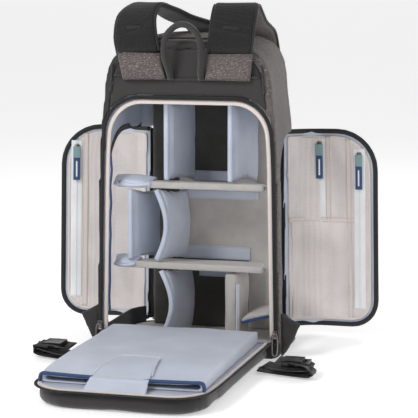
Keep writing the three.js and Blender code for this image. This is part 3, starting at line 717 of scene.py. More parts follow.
def on_door(side, route, inward):
    """A route on the open door's inner side, with the normals that point out of that side."""
    turn = door_turn(side)
    points, ups = in_side(side, route, inward)
    return [turn @ p for p in points], [turn.to_3x3() @ up for up in ups]


def spline(points, values, per=6):
    """A smooth route through points, with values carried along it."""
    out = []
    count = len(points)
    for i in range(count - 1):
        a, b, c, d = (points[max(i - 1, 0)], points[i], points[i + 1], points[min(i + 2, count - 1)])
        for k in range(per):
            t = k / per
            p = 0.5 * (2 * b + (c - a) * t + (2 * a - 5 * b + 4 * c - d) * t * t + (3 * b - a - 3 * c + d) * t**3)
            out.append((p, values[i] + (values[i + 1] - values[i]) * t))
    out.append((points[-1], values[-1]))
    return out


def smooth_line(points, per):
    return [p for p, _ in spline(points, [0] * len(points), per)]


def mirrored(points):
    return [Vector((-p.x, p.y, p.z)) for p in points]


STEPS = []


def step(cls):
    """Keeps the operators in the order that they run in."""
    STEPS.append(cls)
    return cls


# ---- Pieces ----


@step
class BACKPACK_OT_stage(bpy.types.Operator):
    """Backlit floor, soft studio lights and the camera"""

    bl_idname = "backpack.stage"
    bl_label = "Stage"

    def execute(self, context):
        scene = context.scene
        scene.view_settings.view_transform = "Standard"
        floor_material, tree, shader, place = start_material("backlit acrylic table", 0.9)
        cloudy = add(tree, "ShaderNodeTexNoise", {"Vector": place, "Scale": 2.0}).outputs[0]
        tint = add(tree, "ShaderNodeMixRGB", {0: cloudy, 1: (0.86, 0.86, 0.87, 1), 2: (0.9, 0.9, 0.9, 1)}).outputs[0]
        finish_surface(tree, shader, tint, cloudy, 0.05)
        shader.inputs["Emission Color"].default_value = (1, 1, 1, 1)
        shader.inputs["Emission Strength"].default_value = 0.42
        bm = bmesh.new()
        bmesh.ops.create_grid(bm, x_segments=2, y_segments=2, size=60)
        mesh = bpy.data.meshes.new("floor")
        bm.to_mesh(mesh)
        bm.free()
        floor = bpy.data.objects.new("floor", mesh)
        mesh.materials.append(floor_material)
        floor.location.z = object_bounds()[0][2] - 0.3 * MM
        scene.collection.objects.link(floor)
        floor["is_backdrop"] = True

        # The studio is bright behind the bag and dimmer in front of it, which keeps depth inside the bays.
        world = bpy.data.worlds.new("studio")
        scene.world = world
        world.use_nodes = True
        sky = world.node_tree
        way = add(sky, "ShaderNodeTexCoord").outputs["Generated"]
        forward = add(sky, "ShaderNodeSeparateXYZ", {0: way}).outputs[1]
        level = add(sky, "ShaderNodeMapRange", {"Value": forward, 1: -0.3, 2: 0.75, 3: 0.2, 4: 1.0}).outputs[0]
        sky.links.new(level, sky.nodes["Background"].inputs[1])
        sky.nodes["Background"].inputs[0].default_value = (1, 1, 1, 1)
        for name, place, power, size in (
            ("key", (-1.1, -2.1, 2.0), 40, 0.9),
            ("fill", (1.7, -2.4, 1.4), 14, 1.8),
            ("rim", (0.4, 1.8, 1.9), 10, 1.4),
        ):
            light = bpy.data.lights.new(name, "AREA")
            light.energy, light.size = power, size
            lamp = bpy.data.objects.new(name, light)
            lamp.location = place
            lamp.rotation_euler = (Vector((0, -0.1, 0.25)) - Vector(place)).to_track_quat("-Z", "Y").to_euler()
            scene.collection.objects.link(lamp)

        turn, rise, reach = math.radians(16), math.radians(8), 2.7
        target = Vector((0, -0.105, 0.245))
        back = Vector((math.sin(turn) * math.cos(rise), -math.cos(turn) * math.cos(rise), math.sin(rise)))
        aim = target + Vector((math.cos(turn), math.sin(turn), 0)) * 0.0364
        data = bpy.data.cameras.new("camera")
        data.lens = 140.7
        camera = bpy.data.objects.new("camera", data)
        camera.location = target + back * reach
        camera.rotation_euler = (aim - camera.location).to_track_quat("-Z", "Y").to_euler()
        scene.collection.objects.link(camera)
        scene.camera = camera
        return {"FINISHED"}


@step
class BACKPACK_OT_pads(bpy.types.Operator):
    """Foam pads: shelves, dividers, floor pad and the back pad, swollen by air pressure"""

    bl_idname = "backpack.pads"
    bl_label = "Foam pads"

    def execute(self, context):
        rows = [
            ("upper_shelf", "felt", "bag", 3.6, 1.6, 0.7),
            ("lower_shelf", "felt", "bag", 3.6, 1.6, 0.7),
            ("floor_pad", "felt", "bag", 4.5, 1.5, 0.8),
            ("divider_low_right", "felt", "bag", 3.6, 2.0, 0.6),
            ("divider_low_slant", "felt", "bag", 4.0, 3.0, 0.6),
        ]
        for spot in ("top_left", "top_right", "middle_left", "middle_centre", "low_centre"):
            rows.append((f"divider_{spot}", "nylon", "bag", 3.4, 4.5, 0.7))
        rows.append(("back_pad", "charcoal", "rear_panel", 6.0, 4.0, 0.8))
        pads = [
            puffed(f"{node}_padded", node, material, voxel * MM, cap * MM)
            for node, material, _, voxel, cap, _ in rows
        ]
        swell_all(pads)
        for pad, (node, _, body, _, _, fill) in zip(pads, rows):
            settle(pad, body, [node])
        return {"FINISHED"}


@step
class BACKPACK_OT_shell(bpy.types.Operator):
    """Padded walls of heather polyester with their seams"""

    bl_idname = "backpack.shell"
    bl_label = "Body shell"

    def execute(self, context):
        def inside(co, normal):
            """Charcoal on most of the rear edge, nylon on faces that look inwards, heather elsewhere."""
            if co.y < (BACK + 8.5) * MM:
                return 2 if co.x < 105 * MM else 0
            if co.z > 0.45:
                return 1 if normal.dot((co - Vector((0, 0, 0.4))).normalized()) < -0.35 else 0
            outwards = normal.dot(Vector((co.x, co.y, 0)).normalized())
            return 1 if outwards < -0.5 and inward_of(co) > 3.5 else 0

        walls = ["top_panel", "front_panel", "left_side_panel", "right_side_panel"]
        softened(
            "shell_fabric", walls, ["heather", "nylon", "charcoal"], "bag", voxel=3.0, seed=3.1, split=inside
        )
        softened(
            "front_pocket_fabric", ["front_pocket"], ["heather"], "bag", voxel=3.2, rounds=4, depth=1.3, seed=9
        )
        softened("base_fabric", ["base_panel"], ["tape"], "bag", rounds=2, depth=0.3, seed=4)
        softened("yoke_fabric", ["back_yoke"], ["charcoal"], "bag", voxel=3.0, swell=0.5, depth=0.8, seed=2)
        for name, _ in SIDES:
            gusset = f"{name}_side_gusset"
            softened(
                f"{gusset}_fabric", [gusset], ["charcoal"], "bag", voxel=2.0, depth=1.2, size=0.02, seed=5
            )
        return {"FINISHED"}


@step
class BACKPACK_OT_yoke_seams(bpy.types.Operator):
    """Seams across and down the yoke"""

    bl_idname = "backpack.yoke_seams"
    bl_label = "Yoke seams"

    def execute(self, context):
        y = BACK - 2.6
        stitch = context.scene.backpack_sizes.stitch
        across = [mm(x, y, 459 + 0.0004 * x * x) for x in range(-124, 125, 6)]
        right = [mm(130 - 0.10 * i, y, 446 + i) for i in range(-8, 42, 5)]
        parts = []
        for line in (across, right, mirrored(right)):
            points, ups = facing(line, OUTWARD)
            parts.append((swept(circle(1.9 * MM), frames_along(points, ups)), 0))
            lower = [p + mm(0, -0.2, -3.4) for p in points]
            parts.append((beads(lower, ups, stitch * 1.4, (stitch, 0.8 * MM, 0.6 * MM)), 1))
        settle(merged("yoke_seam_cords", parts, ["charcoal", "dark_thread"]), "bag")
        return {"FINISHED"}


@step
class BACKPACK_OT_hinges(bpy.types.Operator):
    """Fabric folds that join the doors and the rear panel to the body"""

    bl_idname = "backpack.hinges"
    bl_label = "Fabric hinges"

    def execute(self, context):
        columns = 7
        heights = [18 + (DOOR_TOP - 22) * i / 23 for i in range(24)]
        for name, side in SIDES:
            turn = door_turn(side)
            for label, inward, bulge in (("inner", 5.6, -2.2), ("outer", 1.8, 1.0)):
                rows = [
                    (side_at(side, HINGE_Y + 7, z, inward)[0], turn @ side_at(side, HINGE_Y - 8, z, inward)[0])
                    for z in heights
                ]
                bm = bmesh.new()
                bmesh.ops.create_grid(bm, x_segments=columns, y_segments=len(rows) - 1, size=1)
                bm.verts.ensure_lookup_table()
                bow = Vector((side, 0.2, 0)) * (bulge * MM)
                for row, (fixed, swung) in enumerate(rows):
                    for k in range(columns + 1):
                        spot = fixed.lerp(swung, k / columns) + bow * math.sin(math.pi * k / columns)
                        bm.verts[row * (columns + 1) + k].co = spot
                bmesh.ops.solidify(bm, geom=bm.faces[:], thickness=0.9 * MM)
                bmesh.ops.recalc_face_normals(bm, faces=bm.faces)
                fixed, swung = rows[len(rows) // 2]
                joined(to_object(f"{name}_door_hinge_{label}", bm, ["tape"]))
        mats = frames_along(*facing([mm(x, -106.8, 28.9) for x in range(-138, 139, 6)], UPWARD))
        flap = merged("rear_hinge_fold", [(swept(rounded(21 * MM, 1.0 * MM, 10), mats), 0)], ["nylon"])
        joined(flap)
        return {"FINISHED"}


@step
class BACKPACK_OT_bay_details(bpy.types.Operator):
    """Hook tabs, edge bindings and folded flaps inside the bays"""

    bl_idname = "backpack.bay_details"
    bl_label = "Bay details"

    def execute(self, context):
        # Tabs that hold the shelves' far ends to the liner.
        for name, x0, x1, z0, z1 in (
            ("upper_tab_above", -30, 40, 274, 292), ("upper_tab_below", -44, 90, 243, 259),
            ("lower_tab_above", -48, 76, 137, 160), ("lower_tab_below", -20, 60, 106, 121),
        ):
            line = [mm(x, 43.4, (z0 + z1) / 2) for x in range(x0, x1 + 1, 5)]
            strip_piece(name, facing(line, OUTWARD), z1 - z0, "nylon", thick=1.6, stitched="thread")
        # Bound near edges of the shelves.
        for name, z in (("upper_shelf_edge", 280), ("lower_shelf_edge", 143)):
            line = [mm(x, -76.2, z) for x in range(-128, 129, 6)]
            strip_piece(name, facing(line, OUTWARD), 11, "felt", thick=1.8, crown=0.8, stitched="thread")
        # Bound near edges of the nylon dividers.
        for name, x, low, high, bow in (
            ("top_left_edge", -44, 289, 418, 0), ("top_right_edge", 66, 289, 418, 0),
            ("middle_left_edge", -108, 152, 271, 0), ("middle_centre_edge", -62, 152, 271, 17),
            ("low_centre_edge", -54, 19, 134, 18),
        ):
            shares = [i / 20 for i in range(21)]
            line = [mm(x + bow * math.sin(math.pi * t), -75.6, low + (high - low) * t) for t in shares]
            strip_piece(name, facing(line, OUTWARD), 9.0, "nylon", thick=3.0, crown=2.2)
        # Slot binding on the low felt divider.
        line = [mm(78.2, -69, z) for z in range(26, 120, 6)]
        toward = Vector((1, -0.4, 0)).normalized()
        strip_piece("low_right_slot", facing(line, toward), 9, "pale", thick=1.8, stitched="thread")
        # Ends of the shelves folded back on themselves, and lying loose toward the left opening.
        for name, z, reach in (("upper_flap", 283, -70), ("lower_flap", 146, -98)):
            for layer, lift, lean in (("top", 4, 0.35), ("under", -4, 0.1)):
                line = []
                for i in range(15):
                    t = i / 14
                    rise = lift * math.sin(math.pi * min(1, 0.12 + t * 0.9))
                    wave = 3 * lean * math.sin(9 * t)
                    line.append(mm(-136 + (reach + 136) * t, -64 - 3 * t + wave, z + rise))
                up = Vector((0.05, -lean, 1)).normalized()
                strip_piece(f"{name}_{layer}", facing(line, up), 30, "nylon", thick=6.5, crown=2.0)
        # Dark trim round the side openings, the sill below, and the navy edge at their back.
        for name, side in SIDES:
            trim = [(y, z) for y, z in door_route(-5, -3) if y < 66]
            strip_piece(
                f"{name}_opening_trim", in_side(side, trim, 8.2), 10, "charcoal", thick=1.8, stitched="dark_thread"
            )
            sill = [(y, 26) for y in range(-98, 66, 6)]
            strip_piece(f"{name}_opening_sill", in_side(side, sill, 15), 34, "charcoal", thick=2.4)
            points, ups = in_side(side, [(DOOR_BACK - 9, z) for z in range(70, 330, 10)], 8.6)
            for i, point in enumerate(points):
                point.y += 2.0 * MM * math.sin(i * 1.3)
            strip_piece(f"{name}_opening_edge", (points, ups), 7, "navy_tape", thick=2.2, crown=0.8)
        # Navy underside of the slanted pad.
        line = [mm(x, -70.4, 50.5 + (x - 82) * 0.287) for x in range(84, 136, 4)]
        strip_piece("slant_edge", facing(line, OUTWARD), 5, "navy_tape", thick=1.6)
        return {"FINISHED"}


@step
class BACKPACK_OT_lining(bpy.types.Operator):
    """Felt liner inside the front"""

    bl_idname = "backpack.lining"
    bl_label = "Inner liner"

    def execute(self, context):
        def deep(co, normal):
            """Felt darkened to charcoal as painted shade behind the left and the middle bays, light felt on the right.
            """
            middle_row = 0.14 < co.z < 0.28
            return 0 if co.x > (-0.055 if middle_row else 0.07) else 1

        softened(
            "front_liner_felt", ["front_liner"], ["felt", "dark_felt"], "bag",
            voxel=3.2, depth=0.8, seed=6, split=deep,
        )
        return {"FINISHED"}


@step
class BACKPACK_OT_rear_zip(bpy.types.Operator):
    """Rear zip and the bound edges on both sides of it"""

    bl_idname = "backpack.rear_zip"
    bl_label = "Rear zip"

    def execute(self, context):
        zip_piece("rear_zip_body", on_back(opening_route(3.6, 36), -106.6), 6.4, "bag", "rear_zip_body_half")
        strip_piece(
            "rear_opening_rim", on_back(opening_route(10.8, 36), -101.4), 7.8, "binding",
            thick=2.2, crown=0.8, stands_for=["rear_opening_binding"],
        )
        # Navy piping that shows inside the rim on the left.
        edge = [(x + 1.6 * math.sin(z * 0.11), z) for x, z in opening_route(16.2, 36) if x < -110 and 60 < z < 336]
        strip_piece("rear_opening_piping", on_back(edge, -99.5), 4.2, "navy_tape", thick=2.4, crown=1.0)
        foot = HINGE_HEIGHT + 4
        panel_half = on_panel(opening_route(11.2, foot), -105.2)
        zip_piece("rear_zip_panel", panel_half, 5.8, "rear_panel", "rear_zip_panel_half")
        rim = on_panel(opening_route(17.4, foot + 5), -104.2)
        strip_piece("panel_rim", rim, 6.0, "binding", "rear_panel", thick=1.8, crown=0.6)
        return {"FINISHED"}


@step
class BACKPACK_OT_rear_panel(bpy.types.Operator):
    """Inner face of the rear panel, the laptop sleeve with its bound mouth, and the closure tab"""

    bl_idname = "backpack.rear_panel"
    bl_label = "Rear panel"

    def execute(self, context):
        softened(
            "panel_lining", ["rear_panel_board"], ["nylon"], "rear_panel",
            voxel=2.4, rounds=1, swell=0.1, depth=0.3, seed=3,
        )
        low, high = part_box("laptop_sleeve")
        middle = (low + high) / 2
        half = (high - low) / 2

        def dip(co):
            """The sleeve's top sheet closes down toward its mouth."""
            near = 1 - min(1.0, max(0.0, (co.y - low.y) / (60 * MM)))
            side_in = 1 - abs(co.x / half.x) ** 6 * 0.5
            upper = max(0.0, min(1.0, (co.z - middle.z) / (5 * MM) + 0.5))
            return -9 * MM * near * near * upper * max(0.3, side_in)

        def crowned(co, normal):
            across = 1 - ((co.x - middle.x) / half.x) ** 2
            along = 1 - ((co.y - middle.y) / half.y) ** 2
            puff = 2.6 * MM * max(0, across) ** 0.6 * max(0, along) ** 0.6 if co.z > middle.z else 0
            lift = folds(Vector((co.x, co.y, 0)), 0.07, 1.2 * MM, 8) if co.z > middle.z else 0
            return normal * 0.3 * MM + Vector((0, 0, puff + lift + dip(co)))

        def draped(co, normal):
            """The tab follows the sleeve below it."""
            share = min(1.0, max(0.0, (co.z - low.z) / (high.z - low.z)))
            top = crowned(Vector((co.x, max(co.y, low.y), high.z)), UPWARD)
            return normal * 0.2 * MM + Vector((0, 0, (top.z + 0.5 * MM) * share))

        made = to_object("sleeve_fabric", cad_copy("laptop_sleeve"), ["nylon"])
        remeshed(made, 2.3 * MM)
        reshape(made, 4, crowned)
        settle(made, "rear_panel", ["laptop_sleeve"])
        made = to_object("sleeve_tab_fabric", cad_copy("sleeve_tab"), ["nylon"])
        remeshed(made, 1.2 * MM)
        reshape(made, 2, draped)
        settle(made, "sleeve_flap", ["sleeve_tab"])

        # The tab's turned edge and its stitching, where it lies on the sleeve.
        near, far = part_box("sleeve_tab")
        centre, start, tip = (near.x + far.x) / 2, low.y + 3 * MM, 32 * MM
        wide = tip + 16 / 104 * (far.y - start)
        corners = [(centre - wide, start), (centre - tip, far.y), (centre + tip, far.y), (centre + wide, start)]
        rows = []
        for inset in (0.6, 5.0):
            line = []
            for (xa, ya), (xb, yb) in zip(corners, corners[1:]):
                for i in range(12):
                    x, y = xa + (xb - xa) * i / 12, ya + (yb - ya) * i / 12
                    x += (inset * MM) * (1 if x < centre else -1)
                    y = min(y, far.y - inset * MM)
                    height = crowned(Vector((x, y, high.z)), UPWARD).z
                    line.append(Vector((x, y, far.z + height + 0.3 * MM)))
            rows.append(facing(line, UPWARD))
        edge = swept(circle(0.9 * MM, 6), frames_along(*rows[0]))
        stitches = beads(*rows[1], 4 * MM, (2.8 * MM, 0.7 * MM, 0.6 * MM))
        settle(merged("sleeve_tab_edges", [(edge, 0), (stitches, 1)], ["pale", "thread"]), "sleeve_flap")

        # Navy binding along the upper lip of the mouth; its rounded ends turn down at the corners.
        reach, top, mouth = half.x + 0.5 * MM, high.z - 8.6 * MM, low.y - 0.6 * MM
        lip = [
            Vector((-reach + x * MM, mouth, base + z * MM))
            for x, base, z in ((0.5, low.z, 2), (-0.5, low.z, 6), (1.5, top, 1.5), (8, top, 3))
        ]
        span = [
            Vector((x * MM, mouth, top + 3 * MM - 2.2 * MM * math.cos(x / 126 * math.pi / 2)))
            for x in range(-110, 111, 10)
        ]
        route = smooth_line(lip + span + mirrored(reversed(lip)), 4)
        bm = swept([(x * 1.5, y) for x, y in circle(2.7 * MM, 10)], frames_along(*square_to(route, -OUTWARD)))
        settle(merged("sleeve_mouth_binding", [(bm, 0)], ["navy_tape"]), "rear_panel")
        return {"FINISHED"}


@step
class BACKPACK_OT_doors(bpy.types.Operator):
    """Side doors: padded shells, zips, mesh pockets and their bindings"""

    bl_idname = "backpack.doors"
    bl_label = "Side doors"

    def execute(self, context):
        for name, side in SIDES:
            body = f"{name}_door"
            spin = door_turn(side).inverted().to_3x3()

            def inner(co, normal, spin=spin, side=side):
                turned = spin @ normal
                return 1 if turned.x * side + turned.y * 0.6 < -0.3 else 0

            softened(
                f"{name}_door_fabric", [f"{name}_door_shell"], ["heather", "nylon"], body,
                voxel=2.6, rounds=5, swell=0.3, depth=0.6, seed=side, split=inner,
            )
            # The door's zip tape stands on edge all round, its coil outwards.
            points, ups = on_door(side, door_route(2.3, 3.0), 3.6)
            middle = sum(points, Vector()) / len(points)
            outward = []
            for i, point in enumerate(points):
                out = heading(points, i).cross(ups[i]).normalized()
                outward.append(out if out.dot(point - middle) > 0 else -out)
            zip_piece(f"{name}_door_zip_band", (points, outward), 5.2, body, f"{name}_door_zip")
            softened(
                f"{name}_door_mesh", [f"{name}_door_pocket"], ["mesh"], body,
                voxel=1.8, rounds=9, depth=0.6, size=0.06, seed=side * 2,
            )
            rim = on_door(side, door_route(15.0, 10.5), 8.3)
            strip_piece(f"{name}_pocket_rim", rim, 4.5, "binding", body, 1.2, 0.3)
            edge = on_door(side, door_route(4.6, 5.2), 6.0)
            strip_piece(f"{name}_door_edge", edge, 8.4, "tape", body, 2.4, 0.8)
        settle(door_patch("right_low_pocket", "right", (-33, 72), (30, 204), 1.6), "right_door")
        # Strips across the doors: edges of their pockets.
        for label, name, route in (
            ("right_pocket_bar", "right", [(y, 204) for y in range(74, -36, -6)]),
            ("right_pocket_post_inner", "right", [(38, z) for z in range(206, 350, 8)]),
            ("right_pocket_post_middle", "right", [(10, z) for z in range(206, 352, 8)]),
            ("right_pocket_post_outer", "right", [(-29 + (z - 60) * 0.01, z) for z in range(34, 350, 8)]),
            ("left_pocket_post", "left", [(-34, z) for z in range(34, 348, 8)]),
        ):
            way = on_door(dict(SIDES)[name], route, 9.4)
            strip_piece(label, way, 10, "binding", f"{name}_door", 1.2, stitched="thread")
        return {"FINISHED"}


def door_patch(label, name, across, upright, lift):
    """A second mesh pocket on a door: the pocket's own sheet, cut to a window and set a little proud."""
    side = dict(SIDES)[name]
    bm = cad_copy(f"{name}_door_pocket")
    turn = door_turn(side)
    bmesh.ops.transform(bm, matrix=turn.inverted(), verts=bm.verts)
    cuts = [((0, y, 0), (0, way, 0)) for y, way in zip(across, (-1, 1))]
    cuts += [((0, 0, z), (0, 0, way)) for z, way in zip(upright, (-1, 1))]
    for at, way in cuts:
        geom = bm.verts[:] + bm.edges[:] + bm.faces[:]
        bmesh.ops.bisect_plane(bm, geom=geom, plane_co=mm(*at), plane_no=way, clear_outer=True)
        bmesh.ops.holes_fill(bm, edges=[e for e in bm.edges if e.is_boundary])
    bmesh.ops.translate(bm, verts=bm.verts, vec=Vector((-side * 0.9, -0.35, 0)) * lift * MM)
    bmesh.ops.transform(bm, matrix=turn, verts=bm.verts)
    made = to_object(label, bm, ["mesh"])
    remeshed(made, 1.8 * MM)
    reshape(made, 6, lambda co, n: n * (0.3 * MM + folds(co, 0.05, 0.7 * MM, 11)))
    return made


@step
class BACKPACK_OT_pocket_zips(bpy.types.Operator):
    """White pocket zips with their sliders, fabric tabs and moulded pulls"""

    bl_idname = "backpack.pocket_zips"
    bl_label = "Pocket zips"

    def execute(self, context):
        for label, key, door, suffix, y, low, high in (
            ("left", "left", "left", "", -50, 50, 333.8),
            ("right_inner", "inner", "right", "_inner", 24, 185.8, 347.8),
            ("right_outer", "outer", "right", "_outer", -46, 48, 329.8),
        ):
            side = dict(SIDES)[door]
            way = on_door(side, [(y, low + (high - low) * i / 30) for i in range(31)], 9.3)
            white = ("white_tape", "white_coil")
            zip_piece(f"{label}_white_zip", way, 20, f"{door}_door", f"{door}_pocket_zip{suffix}", white)
            top = high - 6
            mats = frames_along(*on_door(side, [(y, top - down) for down in (13, 11, 7, 3, 1)], 12.2))
            parts = [
                (swept(rounded(wide * MM, 2.2 * MM, 2, 0.3 * MM), [a, b]), 0)
                for a, b, wide in zip(mats, mats[1:], (5.5, 8, 8.2, 8))
            ]
            settle(merged(f"{label}_zip_slider", parts, ["steel"]), f"{key}_slider", [f"{door}_pocket_slider{suffix}"])
            # Teal tab above, navy grip below with a pale slot down its middle.
            hang = on_door(side, [(y, top - 5 - i) for i in range(0, 23, 2)], 15.2)
            tab = swept(rounded(13 * MM, 1.6 * MM, 3), frames_along(*hang))
            points, ups = on_door(side, [(y, top - 25 - i * 2) for i in range(21)], 15.2)
            grip = swept(rounded(12 * MM, 2.2 * MM, 4, 0.1 * MM), frames_along(points, ups))
            points, ups = points[3:-3], ups[3:-3]
            slot = swept(rounded(2.8 * MM, 0.6 * MM, 2), frames_along(lifted(points, ups, 1.0 * MM), ups))
            made = merged(f"{label}_zip_pull", [(tab, 0), (grip, 1), (slot, 2)], ["teal", "navy", "white_coil"])
            settle(made, f"{key}_puller", [f"{door}_pocket_puller{suffix}"])
        return {"FINISHED"}


# Points of the straps' centre lines: X in strap widths, Y in body depths, Z in body heights, and how many
# millimetres the point stands off the back or the front. The turns are the pads' twist there, in degrees.
LEFT_STRAP = (
    (-0.934, -0.5, 0.8579, 6), (-0.987, -0.5, 0.8935, 8), (-1.039, -0.5, 0.9364, 11),
    (-1.053, -0.5, 0.9495, 12), (-1.105, -0.5, 0.9907, 12), (-1.11, -0.5, 1.048, 2),
    (-0.96, -0.4, 1.083, 0), (-0.69, -0.3, 1.07, 0), (-0.43, -0.19, 1.045, 0),
    (-0.24, -0.02, 1.028, 0), (-0.145, 0.22, 1.012, 0), (-0.118, 0.42, 0.965, 0),
    (-0.105, 0.5, 0.8411, 16), (-0.105, 0.5, 0.7477, 23), (-0.105, 0.5, 0.6617, 25),
    (-0.105, 0.5, 0.6542, 25), (-0.105, 0.5, 0.4486, 25),
)
LEFT_TURNS = (0, 0, 0, 0, -2, -14, -32, -36, -26, -14, -6, -2, 0, 0, 0, 0, 0)
RIGHT_STRAP = (
    (0.921, -0.5, 0.8579, 6), (0.961, -0.5, 0.8935, 8), (1, -0.5, 0.9364, 11),
    (1, -0.5, 0.9495, 12), (1.026, -0.5, 0.9907, 12), (1.05, -0.5, 1.052, 1),
    (1.04, -0.4, 1.083, 0), (1.03, -0.27, 1.062, 0), (1.01, -0.1, 1.032, 0),
    (0.995, 0.1, 1.014, 0), (0.987, 0.28, 0.992, 0), (0.98, 0.4381, 0.9308, 0),
    (0.974, 0.5, 0.8449, 10), (0.974, 0.5, 0.7738, 17), (0.974, 0.5, 0.7252, 20),
    (0.974, 0.5, 0.7178, 20), (0.974, 0.5, 0.5121, 20),
)
RIGHT_TURNS = (0, 0, 0, 0, 2, 5, 8, 9, 10, 6, 2, -6, -14, -16, -16, -16, -16)


def strap_route(points, turns):
    """A strap's centre line and the direction that its outer face looks, in metres."""
    line = [mm(x * STRAP_WIDTH, y * DEPTH + math.copysign(past, y), z * HEIGHT) for x, y, z, past in points]
    route = spline(line, turns)
    spots = [p for p, _ in route]
    ups = []
    for i, (_, turn) in enumerate(route):
        side = Vector((math.cos(math.radians(turn)), math.sin(math.radians(turn)), 0))
        ups.append(heading(spots, i).cross(side).normalized())
    return spots, ups


@step
class BACKPACK_OT_straps(bpy.types.Operator):
    """Shoulder straps with bound edges, their sewn anchors and webbing"""

    bl_idname = "backpack.straps"
    bl_label = "Shoulder straps"

    def execute(self, context):
        thick, crown = 8.5 * MM, 1.6 * MM
        for name, points, turns, lining, lean in (
            ("left", LEFT_STRAP, LEFT_TURNS, "strap_knit", 0.19),
            ("right", RIGHT_STRAP, RIGHT_TURNS, "heather", -0.14),
        ):
            spots, ups = resample(*strap_route(points[2:-2], turns[2:-2]), 6 * MM)
            mats = frames_along(spots, ups)
            # The pad's sewn end thins out where it enters the anchor.
            for i, share in enumerate((0.5, 0.7, 0.88)):
                mats[i] = mats[i] @ Matrix.Diagonal((1, share, 1, 1))
            parts = [(swept(rounded(70 * MM, thick, 10, crown), mats), 0)]
            for x in (-36, 36):
                rail = [m @ mm(x, 0, 0) for m in mats]
                parts.append((swept(circle(2.2 * MM), frames_along(rail, ups)), 1))
            # A stitched slit across the pad, about halfway up its near leg.
            near = min(range(len(spots) // 3), key=lambda i: abs(spots[i].z - 544 * MM))
            slit = bmesh.new()
            box(slit, (0, 0, 0), mm(27, 13.6, 4.4), mats[near])
            round_edges(slit, 1.2 * MM)
            made = merged(f"{name}_strap_padded", [*parts, (slit, 2)], ["air_mesh", "tape", "dark_thread", lining])
            # The side away from the air mesh has its own cloth: heather on the right strap, and dark knit as painted
            # shade on the left.
            for face in made.data.polygons:
                near = min(range(len(spots)), key=lambda i: (spots[i] - face.center).length_squared)
                if face.material_index == 0 and face.normal.dot(ups[near]) > 0.3:
                    face.material_index = 3
            settle(made, f"{name}_strap", [f"{name}_strap_pad"])

            spots, ups = strap_route(points[:3], turns[:3])
            mats = frames_along(spots, ups)
            parts = [(swept(rounded(STRAP_WIDTH * MM, thick, 10, crown), mats), 0)]
            for m in (mats[1], mats[-2]):
                for sign in (-1, 1):
                    row = [m @ mm(x, sign * 5.2, 0) for x in range(-34, 35, 4)]
                    out = m.to_3x3() @ Vector((0, sign, 0))
                    parts.append((beads(*facing(row, out), 4 * MM, (2.8 * MM, 0.8 * MM, 0.6 * MM)), 1))
            # The anchor's lower edge is sewn level into the yoke's seam.
            for part, _ in parts:
                for vert in part.verts:
                    vert.co.z -= lean * (vert.co.x - spots[0].x)
            made = merged(f"{name}_anchor_fabric", parts, ["heather", "dark_thread"])
            settle(made, "bag", [f"{name}_strap_anchor"])

            web = strap_route(points[-2:], turns[-2:])
            stands_for = [f"{name}_strap_webbing"]
            strip_piece(f"{name}_strap_web", web, 25, "webbing", f"{name}_strap", 2.2, stands_for=stands_for)
        return {"FINISHED"}


HANDLE = (
    (1, 0.861, 6), (1.019, 0.884, 14), (1.185, 0.9346, 26),
    (1.074, 0.9869, 27), (0.556, 1.0168, 26), (0, 1.0262, 26),
)


@step
class BACKPACK_OT_handle(bpy.types.Operator):
    """Grab handle: a padded tube with a seam"""

    bl_idname = "backpack.handle"
    bl_label = "Grab handle"

    def execute(self, context):
        foot = 0.42 * STRAP_WIDTH - 5.8
        half = [mm(x * foot, BACK - past, z * HEIGHT) for x, z, past in HANDLE]
        route, ups = facing(smooth_line(mirrored(half[:-1]) + half[::-1], 5), OUTWARD)
        mats = frames_along(route, ups)
        tube = swept(circle(5.2 * MM, 12), mats)
        seam = swept(circle(0.8 * MM, 6), frames_along([m @ mm(0, -5.1, 0) for m in mats], ups))
        settle(merged("handle_tube", [(tube, 0), (seam, 0)], ["charcoal"]), "handle", ["grab_handle"])
        return {"FINISHED"}


# Lines of the belts as steps from the root, in millimetres: the web, then the two loose folds of its tail.
BELT_WEB = ((0, 5, 0), (24, 3, 0), (84, 4, 0), (96, 10, 0), (84, 16, 0), (46, 17, 0))
BELT_TAILS = (
    ((8, 9, -18), (40, 7, -10), (78, 8, -16), (90, 13, -20), (74, 19, -16), (30, 20, -12)),
    ((20, 12, 20), (52, 10, 13), (84, 14, 10), (88, 21, 14), (60, 24, 16), (36, 22, 20)),
)


def belt_line(side, swing, points):
    """A smooth line beside the base, through steps from the belt's root."""
    root_z = HINGE_HEIGHT + 92
    root_x, root_y = half_width(root_z) - 12.5, -107.8 - 0.3 - 24.5
    return smooth_line(
        [folded((side * (root_x + x), root_y + y, root_z + z + swing * max(0, x - 20))) for x, y, z in points], 6
    )


@step
class BACKPACK_OT_belts(bpy.types.Operator):
    """Belt webbing folded back through its buckles"""

    bl_idname = "backpack.belts"
    bl_label = "Belts"

    def execute(self, context):
        for name, side, swing in (("left", -1, -0.25), ("right", 1, 0.3)):
            body = f"{name}_belt"
            web = square_to(belt_line(side, swing, BELT_WEB), -OUTWARD)
            strip_piece(f"{name}_belt_web", web, 29, "webbing", body, 1.8, stands_for=[f"{name}_belt_webbing"])
            for index, tail in enumerate(BELT_TAILS):
                across = Vector((0.1 * side, 1, 0.25 - 0.5 * index))
                loose = square_to(belt_line(side, swing, tail), across)
                strip_piece(f"{name}_belt_tail_{index}", loose, 24, "webbing", body, 1.7)
            settle(buckle(f"{name}_buckle", *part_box(f"{name}_belt_buckle"), side), body, [f"{name}_belt_buckle"])
        return {"FINISHED"}


